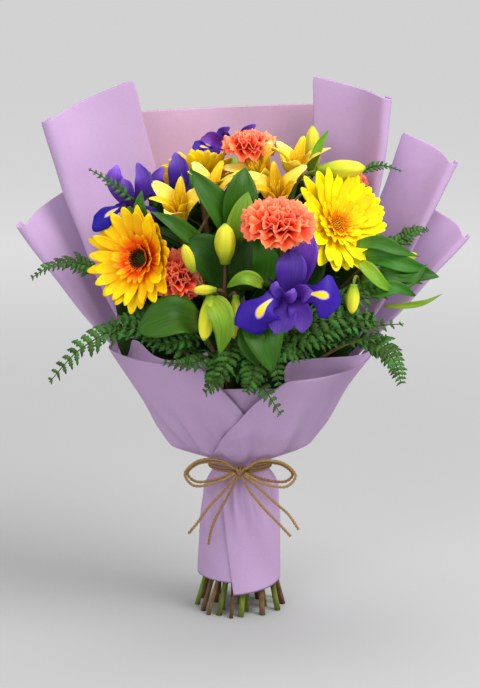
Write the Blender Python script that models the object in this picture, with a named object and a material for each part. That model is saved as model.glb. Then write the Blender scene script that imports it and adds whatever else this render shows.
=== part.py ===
"""A mixed flower bouquet in a folded paper wrapper, tied with twine.

The bouquet stands on its own: the stems cross in a spiral at the tie and fan
out again below it, so their cut ends make a ring of feet on the floor.
Lengths in this file are millimetres until a mesh is finished, and every object
is written in metres. +X is the right side, -Y the front, +Z up. The origin is
the middle of the cut end of the central stem.
"""
import math

import bmesh
import bpy
from mathutils import Matrix, Vector
from mathutils.geometry import interpolate_bezier

MM = 0.001  # metres in a millimetre
GAP = 0.3  # between pieces that rest on each other

TIE_HEIGHT = 148.0
# The spiral bundle: radius at the tie, number of places, sideways lean per unit of height
STEM_RINGS = ((0.0, 1, 0.0), (6.2, 6, 0.17), (12.3, 12, 0.2836), (16.0, 12, 0.31))
STEM_FOOT = 5.8  # every flower stem is this thick up to the tie and thinner above it
FERN_STALK = 3.2
PEDICEL = 3.0
BELOW_FLOOR = 6.0  # stems are made this much too long, then cut flat
SEAT_GAP = 0.7  # between a stem's end and its bloom

PAPER = 1.1
NECK_RADIUS = 18.2  # inside of the innermost sheet at the tie
LAYER_PITCH = 2.0  # from one sheet to the next at the tie
LAYERS = 6
NECK_LOW, NECK_HIGH = 143.0, 153.0  # the straight stretch under the twine
INNER_FOOT = 140.0  # where the inner sheets end, hidden by the skirt
NECK_STEP = 15.0  # degrees of the neck for each column of a sheet

TWINE = 2.6
BAND_RADIUS = NECK_RADIUS + (LAYERS - 1) * LAYER_PITCH + PAPER + GAP + TWINE / 2
KNOT = 5.0
KNOT_CENTRE = (0.0, -BAND_RADIUS - 4.0, TIE_HEIGHT)

LILAC = (0.50, 0.36, 0.60)
PINK_LILAC = (0.58, 0.40, 0.58)
STEM_GREEN = (0.14, 0.30, 0.04)
LEAF_GREEN = (0.05, 0.24, 0.03)
FERN_GREEN = (0.03, 0.10, 0.02)
GOLD = (1.0, 0.60, 0.01)
LEMON = (1.0, 0.80, 0.01)
CORAL = (0.90, 0.16, 0.10)
VIOLET = (0.06, 0.02, 0.42)
CREAM = (0.90, 0.72, 0.18)
JUTE = (0.40, 0.22, 0.09)

# Each bloom: middle, facing, stem end to middle, scale, place in the spiral, stem diameter
GERBERAS = {
    "left": ((-93, -80, 367), (-0.45, -0.86, 0.25), 20, 1.0, (2, 4), 5.6, GOLD),
    "right": ((95, -48, 396), (0.46, -0.77, 0.43), 20, 1.0, (2, 11), 5.6, LEMON),
    "top": ((-42, 34, 441), (-0.15, 0.45, 0.88), 20, 0.76, (2, 2), 5.6, GOLD),
}
CARNATIONS = {
    "left": ((-51, -66, 342), (-0.10, -0.93, 0.35), 50, 0.72, (2, 3), 4.0, CORAL),
    "centre": ((36, -110, 406), (0.05, -0.88, 0.48), 50, 0.92, (1, 1), 4.6, CORAL),
    "top": ((9, -6, 466), (0.0, -0.15, 0.98), 50, 0.80, (1, 2), 4.6, CORAL),
    "right": ((107, -2, 431), (0.50, -0.30, 0.80), 50, 0.68, (2, 0), 4.6, CORAL),
}
# An iris also has a spin about its own axis
IRISES = {
    "centre": ((50, -110, 341), (0.05, -0.75, 0.65), 45, 0.9, (1, 5), 5.4, 0),
    "left": ((-110, -8, 417), (-0.45, -0.30, 0.85), 45, 0.58, (1, 3), 5.4, 0),
    "back_left": ((-64, -18, 437), (-0.10, 0.0, 1.0), 45, 0.5, (1, 4), 5.4, 60),
    "back": ((-6, 75, 452), (0.0, 0.30, 1.0), 45, 0.5, (2, 1), 5.4, 60),
}
# Each branched stem: where it branches, facing, place, diameter, open blooms, closed buds
# as (name, seat, facing) and (seat, facing, length, width)
BRANCHED = {
    "left": ((-42, -42, 380), (-0.15, -0.30, 0.95), (2, 5), 4.6,
             (("left_outer", (-56, -52, 396), (-0.15, -0.30, 0.9)),
              ("left_inner", (-30, -28, 408), (0.05, 0.10, 1.0))), ()),
    "top": ((46, -20, 405), (0.10, -0.10, 1.0), (1, 0), 4.6,
            (("top_tall", (54, -20, 438), (0.0, -0.05, 1.0)),
             ("top_open", (34, -36, 424), (-0.15, -0.35, 0.9))),
            (((72, 22, 440), (0.0, 0.0, 1.0), 46, 15),)),
    "right": ((108, -50, 325), (0.70, -0.40, 0.60), (2, 10), 4.6, (),
              (((107, -102, 343), (-0.05, -0.20, -0.9), 26, 12),
               ((146, -40, 356), (0.9, -0.10, 0.35), 28, 11))),
    "front": ((-15, -92, 322), (-0.05, -0.80, 0.60), (2, 6), 4.6, (),
              (((-14, -102, 368), (0.0, -0.20, 1.0), 34, 20),
               ((-24, -122, 343), (-1.0, -0.20, 0.0), 20, 9),
               ((-28, -118, 334), (-0.15, -0.20, -1.0), 40, 15),
               ((-4, -116, 334), (-0.05, -0.15, -1.0), 38, 11),
               ((-44, -127, 362), (-0.3, -0.1, 0.9), 26, 10))),
}
# Foliage: leaf base, facing, place, and leaves as (route, width)
FOLIAGE = {
    "centre": ((1, -66, 384), (0.05, 0.10, 1.0), (2, 8),
               ((((1, -66, 384), (0, -74, 410), (2, -74, 434), (5, -64, 452)), 28),
                (((0, -66, 382), (-16, -68, 408), (-32, -71, 430), (-45, -71, 450)), 24))),
    "left": ((-40, -92, 308), (-0.30, -0.60, 0.70), (2, 7),
             ((((-40, -92, 308), (-60, -108, 314), (-80, -114, 308), (-97, -112, 302)), 38),)),
    "front": ((18, -98, 306), (0.10, -0.80, 0.50), (2, 9),
              ((((18, -98, 306), (20, -118, 308), (24, -130, 292), (30, -132, 266)), 34),)),
    "right": ((118, -28, 332), (0.70, -0.20, 0.60), (0, 0),
              ((((118, -28, 332), (142, -46, 342), (168, -58, 350), (192, -58, 346)), 22),)),
}
# Ferns: where the blade begins, facing, place, blade route, width
FERNS = {
    "low_left": ((-84, -76, 296), (-0.80, -0.20, 0.30), (3, 6),
                 ((-84, -76, 296), (-120, -88, 298), (-154, -94, 280), (-182, -96, 250)), 44),
    "left": ((-138, -38, 350), (-0.80, -0.20, 0.40), (3, 5),
             ((-138, -38, 350), (-160, -44, 358), (-182, -50, 356), (-202, -52, 344)), 30),
    "front": ((-24, -86, 268), (0.30, -0.80, 0.20), (3, 7),
              ((-24, -86, 268), (-4, -106, 268), (20, -114, 250), (39, -114, 222)), 40),
    "low_right": ((112, -74, 286), (0.60, -0.30, 0.20), (3, 10),
                  ((112, -74, 286), (134, -84, 284), (148, -92, 268), (154, -94, 248)), 36),
    "right": ((140, -28, 366), (0.80, 0.0, 0.50), (3, 11),
              ((140, -28, 366), (156, -26, 378), (170, -24, 386), (184, -20, 388)), 28),
}

# Upright sheets of the fan. Each has its inner and outer edge at three heights,
# its layer and arc at the tie in degrees, and its cross-section: distance along
# the sheet and depth behind it, both as a share of its width. The outer edge is
# turned back on itself in a soft roll.
ROLLED = ((0.0, 0.0), (0.20, 0.06), (0.42, 0.11), (0.62, 0.10), (0.80, 0.02), (0.93, -0.04),
          (1.0, 0.01), (0.97, 0.09), (0.86, 0.13))
BOWED = ((0.0, 0.0), (0.12, 0.05), (0.25, 0.09), (0.37, 0.11), (0.50, 0.12), (0.63, 0.11),
         (0.75, 0.09), (0.88, 0.05), (1.0, 0.0))
ROW_DEPTH = (0.4, 0.8, 1.0)  # how deep the cross-section is at the three heights
FAN = {
    "back_left": (0, (105, 200), ROLLED, LILAC,
                  (((-36, 45, 277), (-114, -2, 283)), ((-76, 58, 408), (-167, 12, 398)),
                   ((-107, 60, 531), (-195, 15, 490)))),
    "back_right": (0, (75, -45), ROLLED, LILAC,
                   (((41, 45, 277), (105, 5, 283)), ((71, 58, 408), (135, 14, 413)),
                    ((73, 62, 535), (150, 18, 513)))),
    "back": (1, (150, 30), BOWED, PINK_LILAC,
             (((-66, 54, 276), (66, 54, 276)), ((-113, 76, 392), (113, 76, 392)),
              ((-133, 84, 495), (100, 84, 506)))),
    "side_left": (1, (165, 255), ROLLED, LILAC,
                  (((-86, 44, 263), (-126, -13, 271)), ((-130, 46, 359), (-178, -8, 332)),
                   ((-157, 48, 430), (-219, 0, 387)))),
    "side_right": (1, (15, -75), ROLLED, LILAC,
                   (((84, 40, 273), (121, -8, 281)), ((133, 44, 395), (183, -6, 390)),
                    ((164, 48, 479), (212, 0, 450)))),
    "low_right": (2, (0, -75), ROLLED, LILAC,
                  (((100, 36, 265), (129, -14, 273)), ((156, 28, 346), (183, -16, 332)),
                   ((191, 30, 405), (225, -10, 378)))),
}

# Sheets wrapped round the front, as rows of (height at the first edge, height in the
# middle, height at the last edge, half width, half depth, first angle, last angle)
FRONT = {
    "inner": (3, ((INNER_FOOT,) * 3 + (0, 0, 240, 300), (NECK_LOW,) * 3 + (0, 0, 240, 300),
                  (NECK_HIGH,) * 3 + (0, 0, 240, 300), (170, 170, 170, 54, 38, 240, 300),
                  (205, 205, 205, 88, 64, 240, 300), (236, 240, 238, 102, 78, 240, 300))),
    "front_left": (4, ((34, 30, 28, 43.5, 44, 90, 300), (95, 95, 95, 38, 36, 90, 300),
                       (125, 125, 125, 34, 32, 90, 300), (NECK_LOW,) * 3 + (0, 0, 90, 300),
                       (NECK_HIGH,) * 3 + (0, 0, 90, 300), (170, 170, 170, 62, 44, 125, 292),
                       (190, 190, 190, 84, 60, 150, 284), (226, 226, 226, 103, 80, 165, 266),
                       (268, 266, 262, 131, 95, 172, 252))),
    "front_right": (5, ((27, 28, 34, 46.5, 48, 262, 465), (95, 95, 95, 42, 40, 248, 465),
                        (125, 125, 125, 38, 36, 242, 465), (NECK_LOW,) * 3 + (0, 0, 240, 465),
                        (NECK_HIGH,) * 3 + (0, 0, 240, 465), (170, 170, 170, 66, 49, 246, 420),
                        (190, 190, 190, 88, 65, 260, 392), (226, 226, 226, 107, 85, 279, 378),
                        (258, 256, 268, 134, 100, 288, 368))),
}

# The bow: loops and tails as hand-placed points
LOOPS = {
    "left": ((-5.5, -34, 150), (-20, -39, 158), (-40, -39, 157), (-53, -38, 147), (-44, -38, 138),
             (-24, -37, 140), (-5.5, -34, 146.5)),
    "right": ((5.5, -34, 150), (20, -39, 157), (40, -39, 156), (54, -38, 145), (45, -38, 136),
              (24, -37, 139), (5.5, -34, 146.5)),
}
TAILS = {
    "left_outer": ((-3.8, -36.2, 144.6), (-14, -44, 132), (-30, -50, 116), (-42, -53, 100),
                   (-51, -54, 89)),
    "left_inner": ((-1.8, -37, 143.2), (-6, -47, 126), (-16, -53, 108), (-28, -56, 94), (-31, -57, 79)),
    "right_inner": ((1.8, -37, 143.2), (10, -46, 130), (24, -52, 114), (38, -55, 100), (50, -56, 87)),
    "right_outer": ((3.8, -36.2, 144.6), (18, -44, 134), (34, -49, 120), (48, -52, 108),
                    (58, -53, 93)),
}


def clear_scene():
    for item in list(bpy.data.objects):
        bpy.data.objects.remove(item, do_unlink=True)


def material(name, colour, roughness):
    made = bpy.data.materials.new(name)
    made.use_nodes = True
    surface = made.node_tree.nodes["Principled BSDF"]
    surface.inputs["Base Color"].default_value = (*colour, 1.0)
    surface.inputs["Roughness"].default_value = roughness
    surface.inputs["Metallic"].default_value = 0.0
    return made


def finish(name, bm, colour, roughness=0.6):
    """Turn a bmesh in millimetres into the named object in metres."""
    bmesh.ops.remove_doubles(bm, verts=bm.verts, dist=0.001)
    bmesh.ops.recalc_face_normals(bm, faces=bm.faces)
    bmesh.ops.scale(bm, vec=(MM, MM, MM), verts=bm.verts)
    mesh = bpy.data.meshes.new(name)
    bm.to_mesh(mesh)
    bm.free()
    mesh.shade_smooth()
    made = bpy.data.objects.new(name, mesh)
    made.data.materials.append(material(name, colour, roughness))
    bpy.context.collection.objects.link(made)
    return made


def union(first, others):
    """Boolean-join the other objects to the first and drop them."""
    for other in others:
        join = first.modifiers.new("join", "BOOLEAN")
        join.operation = "UNION"
        join.solver = "EXACT"
        join.object = other
    graph = bpy.context.evaluated_depsgraph_get()
    mesh = bpy.data.meshes.new_from_object(first.evaluated_get(graph))
    first.modifiers.clear()
    first.data = mesh
    for other in others:
        bpy.data.objects.remove(other, do_unlink=True)
    return first


def smooth_route(points, steps=3):
    """A smooth curve through the points, with some points between each pair."""
    points = [Vector(p) for p in points]
    route = [points[0]]
    for i in range(len(points) - 1):
        before = points[max(i - 1, 0)]
        after = points[min(i + 2, len(points) - 1)]
        first = points[i] + (points[i + 1] - before) / 6
        second = points[i + 1] - (after - points[i]) / 6
        route += interpolate_bezier(points[i], first, second, points[i + 1], steps + 1)[1:]
    return route


def tube(name, route, diameter, colour, roundness=2, foot=None):
    """A round bar with filled ends along a route in millimetres; a foot is its first thickness."""
    curve = bpy.data.curves.new(name, "CURVE")
    curve.dimensions = "3D"
    curve.bevel_depth = diameter / 2
    curve.bevel_resolution = roundness
    curve.render_resolution_u = 0
    curve.use_fill_caps = True
    spline = curve.splines.new("POLY")
    spline.points.add(len(route) - 1)
    for point, place in zip(spline.points, route):
        point.co = (*place, 1.0)
    if foot:
        for point in spline.points[:2]:
            point.radius = foot / diameter
    holder = bpy.data.objects.new(name, curve)
    bpy.context.collection.objects.link(holder)
    graph = bpy.context.evaluated_depsgraph_get()
    mesh = bpy.data.meshes.new_from_object(holder.evaluated_get(graph))
    bm = bmesh.new()
    bm.from_mesh(mesh)
    bpy.data.objects.remove(holder, do_unlink=True)
    return finish(name, bm, colour)


def cut_at_floor(item):
    """Slice a stem flat at the floor and close the cut."""
    bm = bmesh.new()
    bm.from_mesh(item.data)
    everything = bm.verts[:] + bm.edges[:] + bm.faces[:]
    bmesh.ops.bisect_plane(bm, geom=everything, plane_co=(0, 0, 0), plane_no=(0, 0, 1),
                           clear_inner=True)
    bmesh.ops.holes_fill(bm, edges=[e for e in bm.edges if e.is_boundary], sides=0)
    bm.to_mesh(item.data)
    bm.free()


def stem_route(seat, facing, place):
    """From below the floor, straight through the tie, then bending to the flower's back."""
    radius, count, lean = STEM_RINGS[place[0]]
    offset = 0.5 if place[0] == 2 else 0.0
    angle = math.tau * (place[1] + offset) / count
    waist = Vector((radius * math.cos(angle), radius * math.sin(angle), TIE_HEIGHT))
    rise = Vector((-lean * math.sin(angle), lean * math.cos(angle), 1.0))
    seat = Vector(seat)
    facing = Vector(facing).normalized()
    reach = (seat - waist).length
    bend = interpolate_bezier(waist, waist + rise.normalized() * reach * 0.35,
                              seat - facing * reach * 0.25, seat, 9)
    return [waist - rise * (TIE_HEIGHT + BELOW_FLOOR)] + bend


def stem(name, seat, facing, place, diameter, colour=STEM_GREEN, foot=STEM_FOOT):
    made = tube(name, stem_route(seat, facing, place), diameter, colour, 2, foot)
    cut_at_floor(made)
    return made


def revolve(name, outline, segments, colour):
    """Spin an outline of (radius, height) pairs about Z into a closed body."""
    bm = bmesh.new()
    verts = [bm.verts.new((radius, 0, height)) for radius, height in outline]
    edges = [bm.edges.new(pair) for pair in zip(verts, verts[1:])]
    bmesh.ops.spin(bm, geom=verts + edges, cent=(0, 0, 0), axis=(0, 0, 1), angle=math.tau,
                   steps=segments, use_merge=True)
    bmesh.ops.remove_doubles(bm, verts=bm.verts, dist=0.01)
    return finish(name, bm, colour)


def aim(item, seat, facing, spin=0.0):
    """Put a piece modelled along +Z on its seat, pointing the given way."""
    facing = Vector(facing).normalized()
    turn = Vector((0, 0, 1)).rotation_difference(facing).to_matrix().to_4x4()
    move = Matrix.Translation(Vector(seat) * MM)
    item.data.transform(move @ turn @ Matrix.Rotation(math.radians(spin), 4, "Z"))
    return item


def ribbon(name, route, width, thickness, up, colour, shape=(0.35, 0.85, 1.0, 0.8, 0.25),
           steps=1):
    """A thin plate along a route, its width following the shape from base to tip."""
    route = smooth_route(route, steps)
    up = Vector(up)
    bm = bmesh.new()
    last = None
    for i, place in enumerate(route):
        along = (route[min(i + 1, len(route) - 1)] - route[max(i - 1, 0)]).normalized()
        side = along.cross(up).normalized()
        face = side.cross(along).normalized()
        share = i / (len(route) - 1) * (len(shape) - 1)
        low = min(int(share), len(shape) - 2)
        half = width / 2 * (shape[low] + (shape[low + 1] - shape[low]) * (share - low))
        ring = [bm.verts.new(place + side * half * s + face * thickness / 2 * f)
                for s, f in ((-1, -1), (1, -1), (1, 1), (-1, 1))]
        if last is None:
            bm.faces.new(ring[::-1])
        else:
            for j in range(4):
                bm.faces.new((last[j], last[(j + 1) % 4], ring[(j + 1) % 4], ring[j]))
        last = ring
    bm.faces.new(last)
    return finish(name, bm, colour)


def gerbera(name, entry):
    middle, facing, back, size, place, diameter, colour = entry
    facing = Vector(facing).normalized()
    seat = Vector(middle) - facing * back
    stem(f"gerbera_{name}_stem", seat, facing, place, diameter)
    outline = [(0, SEAT_GAP), (4, SEAT_GAP), (9, 6), (10, 13), (24, 17), (42, 25), (56, 34), (57, 37),
               (42, 28.5), (24, 20.5), (14, 19.5), (12, 23), (0, 23.5)]
    bloom = revolve(f"gerbera_{name}_bloom", [(r * size, h * size if h > 1 else h) for r, h in outline],
                    18, colour)
    aim(bloom, seat, facing)


def carnation(name, entry):
    middle, facing, back, size, place, diameter, colour = entry
    facing = Vector(facing).normalized()
    seat = Vector(middle) - facing * back
    stem(f"carnation_{name}_stem", seat, facing, place, diameter)
    dome = [(24, -16), (35, -8), (37, 1), (33, 11), (22, 18), (0, 21)]
    outline = [(0, SEAT_GAP), (3.5, SEAT_GAP), (7, 5), (8, 22), (10, 28)]
    outline += [(r * size, back + h * size) for r, h in dome]
    aim(revolve(f"carnation_{name}_bloom", outline, 14, colour), seat, facing)


def iris(name, entry):
    """Three falls that bend out and down and three upright standards round a short tube."""
    middle, facing, back, size, place, diameter, spin = entry
    facing = Vector(facing).normalized()
    seat = Vector(middle) - facing * back
    stem(f"iris_{name}_stem", seat, facing, place, diameter)
    core = revolve(f"iris_{name}_bloom", [(0, SEAT_GAP), (3.5, SEAT_GAP), (5, 8), (4.5, 24), (6, 38),
                                          (8, 46), (5, 54), (0, 56)], 10, VIOLET)
    petals = []
    for k in range(3):
        turn = Matrix.Rotation(math.radians(120 * k), 3, "Z")
        fall = [(3, 0, 40), (18 * size, 0, 50), (34 * size, 0, 50), (50 * size, 0, 38)]
        fall = [turn @ Vector(p) for p in fall]
        petals.append(ribbon("fall", fall, 32 * size, 1.6, (0, 0, 1), VIOLET,
                             (0.35, 0.4, 0.9, 1.0, 0.45)))
        turn = Matrix.Rotation(math.radians(120 * k + 60), 3, "Z")
        standard = [(3, 0, 42), (12 * size, 0, 56), (18 * size, 0, 74), (16 * size, 0, 92)]
        standard = [turn @ Vector(p) for p in standard]
        petals.append(ribbon("standard", standard, 22 * size, 1.6, turn @ Vector((-1, 0, 0)),
                             VIOLET))
    aim(union(core, petals), seat, facing, spin)


def alstroemeria(name, entry):
    """A stem that branches into short stalks, some with open blooms, some with buds."""
    fork, facing, place, diameter, blooms, buds = entry
    fork, facing = Vector(fork), Vector(facing).normalized()
    main = stem(f"alstroemeria_{name}_stem", fork, facing, place, diameter)
    parts = []
    seats = [(seat, direction) for _, seat, direction in blooms]
    seats += [(seat, direction) for seat, direction, _, _ in buds]
    for k, (seat, direction) in enumerate(seats):
        direction = Vector(direction).normalized()
        start = fork - facing * (3 + 1.3 * k)
        reach = (Vector(seat) - start).length
        bend = interpolate_bezier(start, start + facing * reach * 0.4,
                                  Vector(seat) - direction * reach * 0.4, Vector(seat), 6)
        parts.append(tube("stalk", bend, PEDICEL, STEM_GREEN, 1))
    for seat, direction, length, width in buds:
        egg = [(0, -1), (width * 0.22, -1), (width * 0.42, length * 0.25), (width * 0.5, length * 0.5),
               (width * 0.36, length * 0.8), (0, length)]
        parts.append(aim(revolve("bud", egg, 8, CREAM), seat, direction))
    union(main, parts)
    for bloom, seat, direction in blooms:
        funnel = [(0, SEAT_GAP), (3, SEAT_GAP), (4.5, 6), (5, 12), (11, 26), (17, 38), (18.5, 42),
                  (16.5, 42), (9, 29), (0, 22)]
        aim(revolve(f"alstroemeria_{bloom}_bloom", funnel, 12, CREAM), seat, direction)


def foliage(name, entry):
    base, facing, place, leaves = entry
    main = stem(f"foliage_{name}", base, facing, place, 4.0, LEAF_GREEN)
    parts = [ribbon("leaf", route, width, 1.2, (0, -1, 0.6), LEAF_GREEN, steps=2)
             for route, width in leaves]
    union(main, parts)


def fern(name, entry):
    base, facing, place, route, width = entry
    main = stem(f"fern_{name}", base, facing, place, FERN_STALK, FERN_GREEN, FERN_STALK)
    shape = (0.3, 1.0, 0.8, 0.5, 0.15)
    union(main, [ribbon("frond", route, width, 1.2, (0, -0.5, 1), FERN_GREEN, shape, 2)])


def neck_point(layer, angle, height):
    radius = NECK_RADIUS + layer * LAYER_PITCH + PAPER / 2
    turn = math.radians(angle)
    return Vector((radius * math.cos(turn), radius * math.sin(turn), height))


def sheet(name, grid, colour):
    """A grid of points on the sheet's middle surface, given its paper thickness."""
    bm = bmesh.new()
    rows = [[bm.verts.new(point) for point in row] for row in grid]
    for low, high in zip(rows, rows[1:]):
        for i in range(len(low) - 1):
            bm.faces.new((low[i], low[i + 1], high[i + 1], high[i]))
    made = finish(name, bm, colour, 0.85)
    solid = made.modifiers.new("paper", "SOLIDIFY")
    solid.thickness = PAPER * MM
    solid.offset = 0.0
    return made


def fan_sheet(name, entry):
    """An upright sheet, from the arc it fills at the tie up to its free top edge."""
    layer, arc, section, colour, rows = entry
    columns = []
    for i, (along, depth) in enumerate(section):
        angle = arc[0] + (arc[1] - arc[0]) * i / (len(section) - 1)
        column = [neck_point(layer, angle, height) for height in (NECK_LOW, NECK_HIGH)]
        for (inner, outer), deep in zip(rows, ROW_DEPTH):
            inner, outer = Vector(inner), Vector(outer)
            chord = outer - inner
            away = Vector((-chord.y, chord.x, 0)).normalized()
            if away.y < 0:
                away = -away
            column.append(inner + chord * along + away * depth * deep * chord.length)
        foot = neck_point(layer, angle, INNER_FOOT)
        columns.append([foot, column[0]] + smooth_route(column, 2)[2:])
    sheet(f"paper_{name}", list(zip(*columns)), colour)


def wrap_sheet(name, entry):
    """A sheet wrapped round the front, on ellipses above and below the round neck."""
    layer, rows = entry
    count = round(abs(rows[3][6] - rows[3][5]) / NECK_STEP)
    grid = []
    for first, middle, last, wide, deep, start, end in rows:
        row = []
        for i in range(count + 1):
            share = i / count
            angle = start + (end - start) * share
            bow = 4 * share * (1 - share)
            height = first + (last - first) * share + (middle - (first + last) / 2) * bow
            if wide:
                turn = math.radians(angle)
                row.append(Vector((wide * math.cos(turn), deep * math.sin(turn), height)))
            else:
                row.append(neck_point(layer, angle, height))
        grid.append(row)
    sheet(f"paper_{name}", grid, LILAC)


def twine():
    """The turn of twine round the neck with its knot, then the loops and tails of the bow."""
    turns = 24
    ring = [Vector((BAND_RADIUS * math.cos(math.tau * i / turns),
                    BAND_RADIUS * math.sin(math.tau * i / turns), TIE_HEIGHT)) for i in range(turns)]
    bm = bmesh.new()
    loops = []
    for place in ring:
        out = Vector((place.x, place.y, 0)).normalized()
        loops.append([bm.verts.new(place + (out * math.cos(a) + Vector((0, 0, 1)) * math.sin(a))
                                   * TWINE / 2) for a in (math.tau * k / 6 for k in range(6))])
    for i in range(turns):
        near, far = loops[i], loops[(i + 1) % turns]
        for j in range(6):
            bm.faces.new((near[j], far[j], far[(j + 1) % 6], near[(j + 1) % 6]))
    band = finish("twine_band", bm, JUTE, 0.9)
    ball = revolve("knot", [(0, -KNOT), (3.5, -3.5), (KNOT, 0), (3.5, 3.5),
                            (0, KNOT)], 10, JUTE)
    aim(ball, KNOT_CENTRE, (0, 0, 1))
    union(band, [ball])
    for name, points in LOOPS.items():
        tube(f"twine_loop_{name}", smooth_route(points, 3), TWINE, JUTE)
    for name, points in TAILS.items():
        tube(f"twine_tail_{name}", smooth_route(points, 3), TWINE, JUTE)


def build():
    clear_scene()
    for name, entry in GERBERAS.items():
        gerbera(name, entry)
    for name, entry in CARNATIONS.items():
        carnation(name, entry)
    for name, entry in IRISES.items():
        iris(name, entry)
    for name, entry in BRANCHED.items():
        alstroemeria(name, entry)
    for name, entry in FOLIAGE.items():
        foliage(name, entry)
    for name, entry in FERNS.items():
        fern(name, entry)
    for name, entry in FAN.items():
        fan_sheet(name, entry)
    for name, entry in FRONT.items():
        wrap_sheet(name, entry)
    twine()


build()
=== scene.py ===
# %% [markdown]
# # A hand-tied bouquet in folded lilac paper
#
# The real thing is a spiral-tied bunch: gerberas, carnations, irises and alstroemerias
# over leaves and fern, in sheets of matte wrapping paper gathered by a jute bow.
# The frame gives every stem, bloom and sheet its place as a plain solid. This file
# makes detailed pieces that stand for those solids and look like what they are.

# %% Load the frame
import math
import random

import bmesh
import bpy
from mathutils import Matrix, Vector, noise
from mathutils.geometry import interpolate_bezier


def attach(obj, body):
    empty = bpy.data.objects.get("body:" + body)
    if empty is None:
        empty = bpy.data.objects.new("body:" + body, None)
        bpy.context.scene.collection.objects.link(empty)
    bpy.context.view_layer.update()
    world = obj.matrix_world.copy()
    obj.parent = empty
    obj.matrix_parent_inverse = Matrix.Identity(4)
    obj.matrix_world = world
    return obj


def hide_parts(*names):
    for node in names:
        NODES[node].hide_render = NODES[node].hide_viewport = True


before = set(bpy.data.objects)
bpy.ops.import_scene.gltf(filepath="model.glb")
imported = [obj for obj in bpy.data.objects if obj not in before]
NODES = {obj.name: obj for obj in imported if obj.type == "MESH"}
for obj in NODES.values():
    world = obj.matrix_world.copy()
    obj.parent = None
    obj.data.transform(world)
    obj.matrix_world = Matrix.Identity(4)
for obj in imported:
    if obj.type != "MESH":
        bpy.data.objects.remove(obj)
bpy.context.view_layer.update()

MM = 0.001
UP = Vector((0, 0, 1))

# %% [markdown]
# ## Small helpers
# Everything below is modelled in millimetres, because petals and twine are easiest to
# think about that way. One function turns a finished bmesh into a piece in metres that
# rides on the body and stands for its plain solids. Every bmesh carries a UV map, and a
# shade number per vertex that makes no two petals alike.

# %% Helpers: start a bmesh, move a part of it, publish it as a piece
def new_bouquet_mesh():
    bm = bmesh.new()
    bm.loops.layers.uv.new("UVMap")
    bm.verts.layers.float.new("tint")
    return bm


def move_new(bm, start, matrix):
    """Move every vertex that was added after the first start ones."""
    bm.verts.ensure_lookup_table()
    bmesh.ops.transform(bm, matrix=matrix, verts=bm.verts[start:])


def publish(name, bm, finish, nodes=(), thickness=0.0, slot=None, smooth=0):
    """Turn a bmesh in millimetres into a named piece that stands for some CAD nodes."""
    bmesh.ops.scale(bm, vec=(MM, MM, MM), verts=bm.verts)
    mesh = bpy.data.meshes.new(name)
    bm.to_mesh(mesh)
    bm.free()
    mesh.shade_smooth()
    mesh.materials.append(finish)
    piece = bpy.data.objects.new(name, mesh)
    bpy.context.collection.objects.link(piece)
    if thickness:
        skin = piece.modifiers.new("skin", "SOLIDIFY")
        skin.thickness = thickness * MM
        skin.offset = 0.0
    if smooth:
        soft = piece.modifiers.new("soft", "SUBSURF")
        soft.levels = soft.render_levels = smooth
    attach(piece, "root")
    if nodes:
        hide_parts(*nodes)
    print(name, len(mesh.polygons), "faces")
    return piece


# %% Helpers: blends and smooth curves
def smoothstep(low, high, value):
    share = min(max((value - low) / (high - low), 0.0), 1.0)
    return share * share * (3 - 2 * share)


def mix(a, b, share):
    return a + (b - a) * share


def path_length(points):
    return sum((b - a).length for a, b in zip(points, points[1:]))


def through(points, t):
    """The point at t, from 0 to 1, on a smooth curve through evenly spaced points."""
    t = min(max(t, 0.0), 1.0) * (len(points) - 1)
    i = min(int(t), len(points) - 2)
    t -= i
    p1, p2 = Vector(points[i]), Vector(points[i + 1])
    p0 = Vector(points[i - 1]) if i else p1 * 2 - p2
    p3 = Vector(points[i + 2]) if i + 2 < len(points) else p2 * 2 - p1
    return 0.5 * (2 * p1 + (p2 - p0) * t + (2 * p0 - 5 * p1 + 4 * p2 - p3) * t * t
                  + (3 * p1 - p0 - 3 * p2 + p3) * t ** 3)


def spine_at(route, v, up):
    """The place, the way ahead, the side and the upper face at v along a blade's route."""
    ahead = (through(route, min(v + 0.03, 1)) - through(route, max(v - 0.03, 0))).normalized()
    side = ahead.cross(up).normalized()
    return through(route, v), ahead, side, side.cross(ahead)


def round_axis(angle, radius, height):
    return Vector((radius * math.cos(angle), radius * math.sin(angle), height))


def outward(angle, *pairs):
    """A route that leaves the axis at an angle, through (radius, height) pairs."""
    return [round_axis(angle, radius, height) for radius, height in pairs]


# %% Helpers: a surface from a grid, and a pipe along a route
def surface(bm, place, across, along, tint=0.0):
    """Add a grid whose corners are moved to place(u, v); u and v, from 0 to 1, are its UVs."""
    layer, shade = bm.loops.layers.uv["UVMap"], bm.verts.layers.float["tint"]
    grid = bmesh.ops.create_grid(bm, x_segments=across, y_segments=along, size=0.5)
    for vert in grid["verts"]:
        u, v = vert.co.x + 0.5, vert.co.y + 0.5
        for loop in vert.link_loops:
            loop[layer].uv = (u, v)
        vert.co = place(u, v)
        vert[shade] = tint


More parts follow.
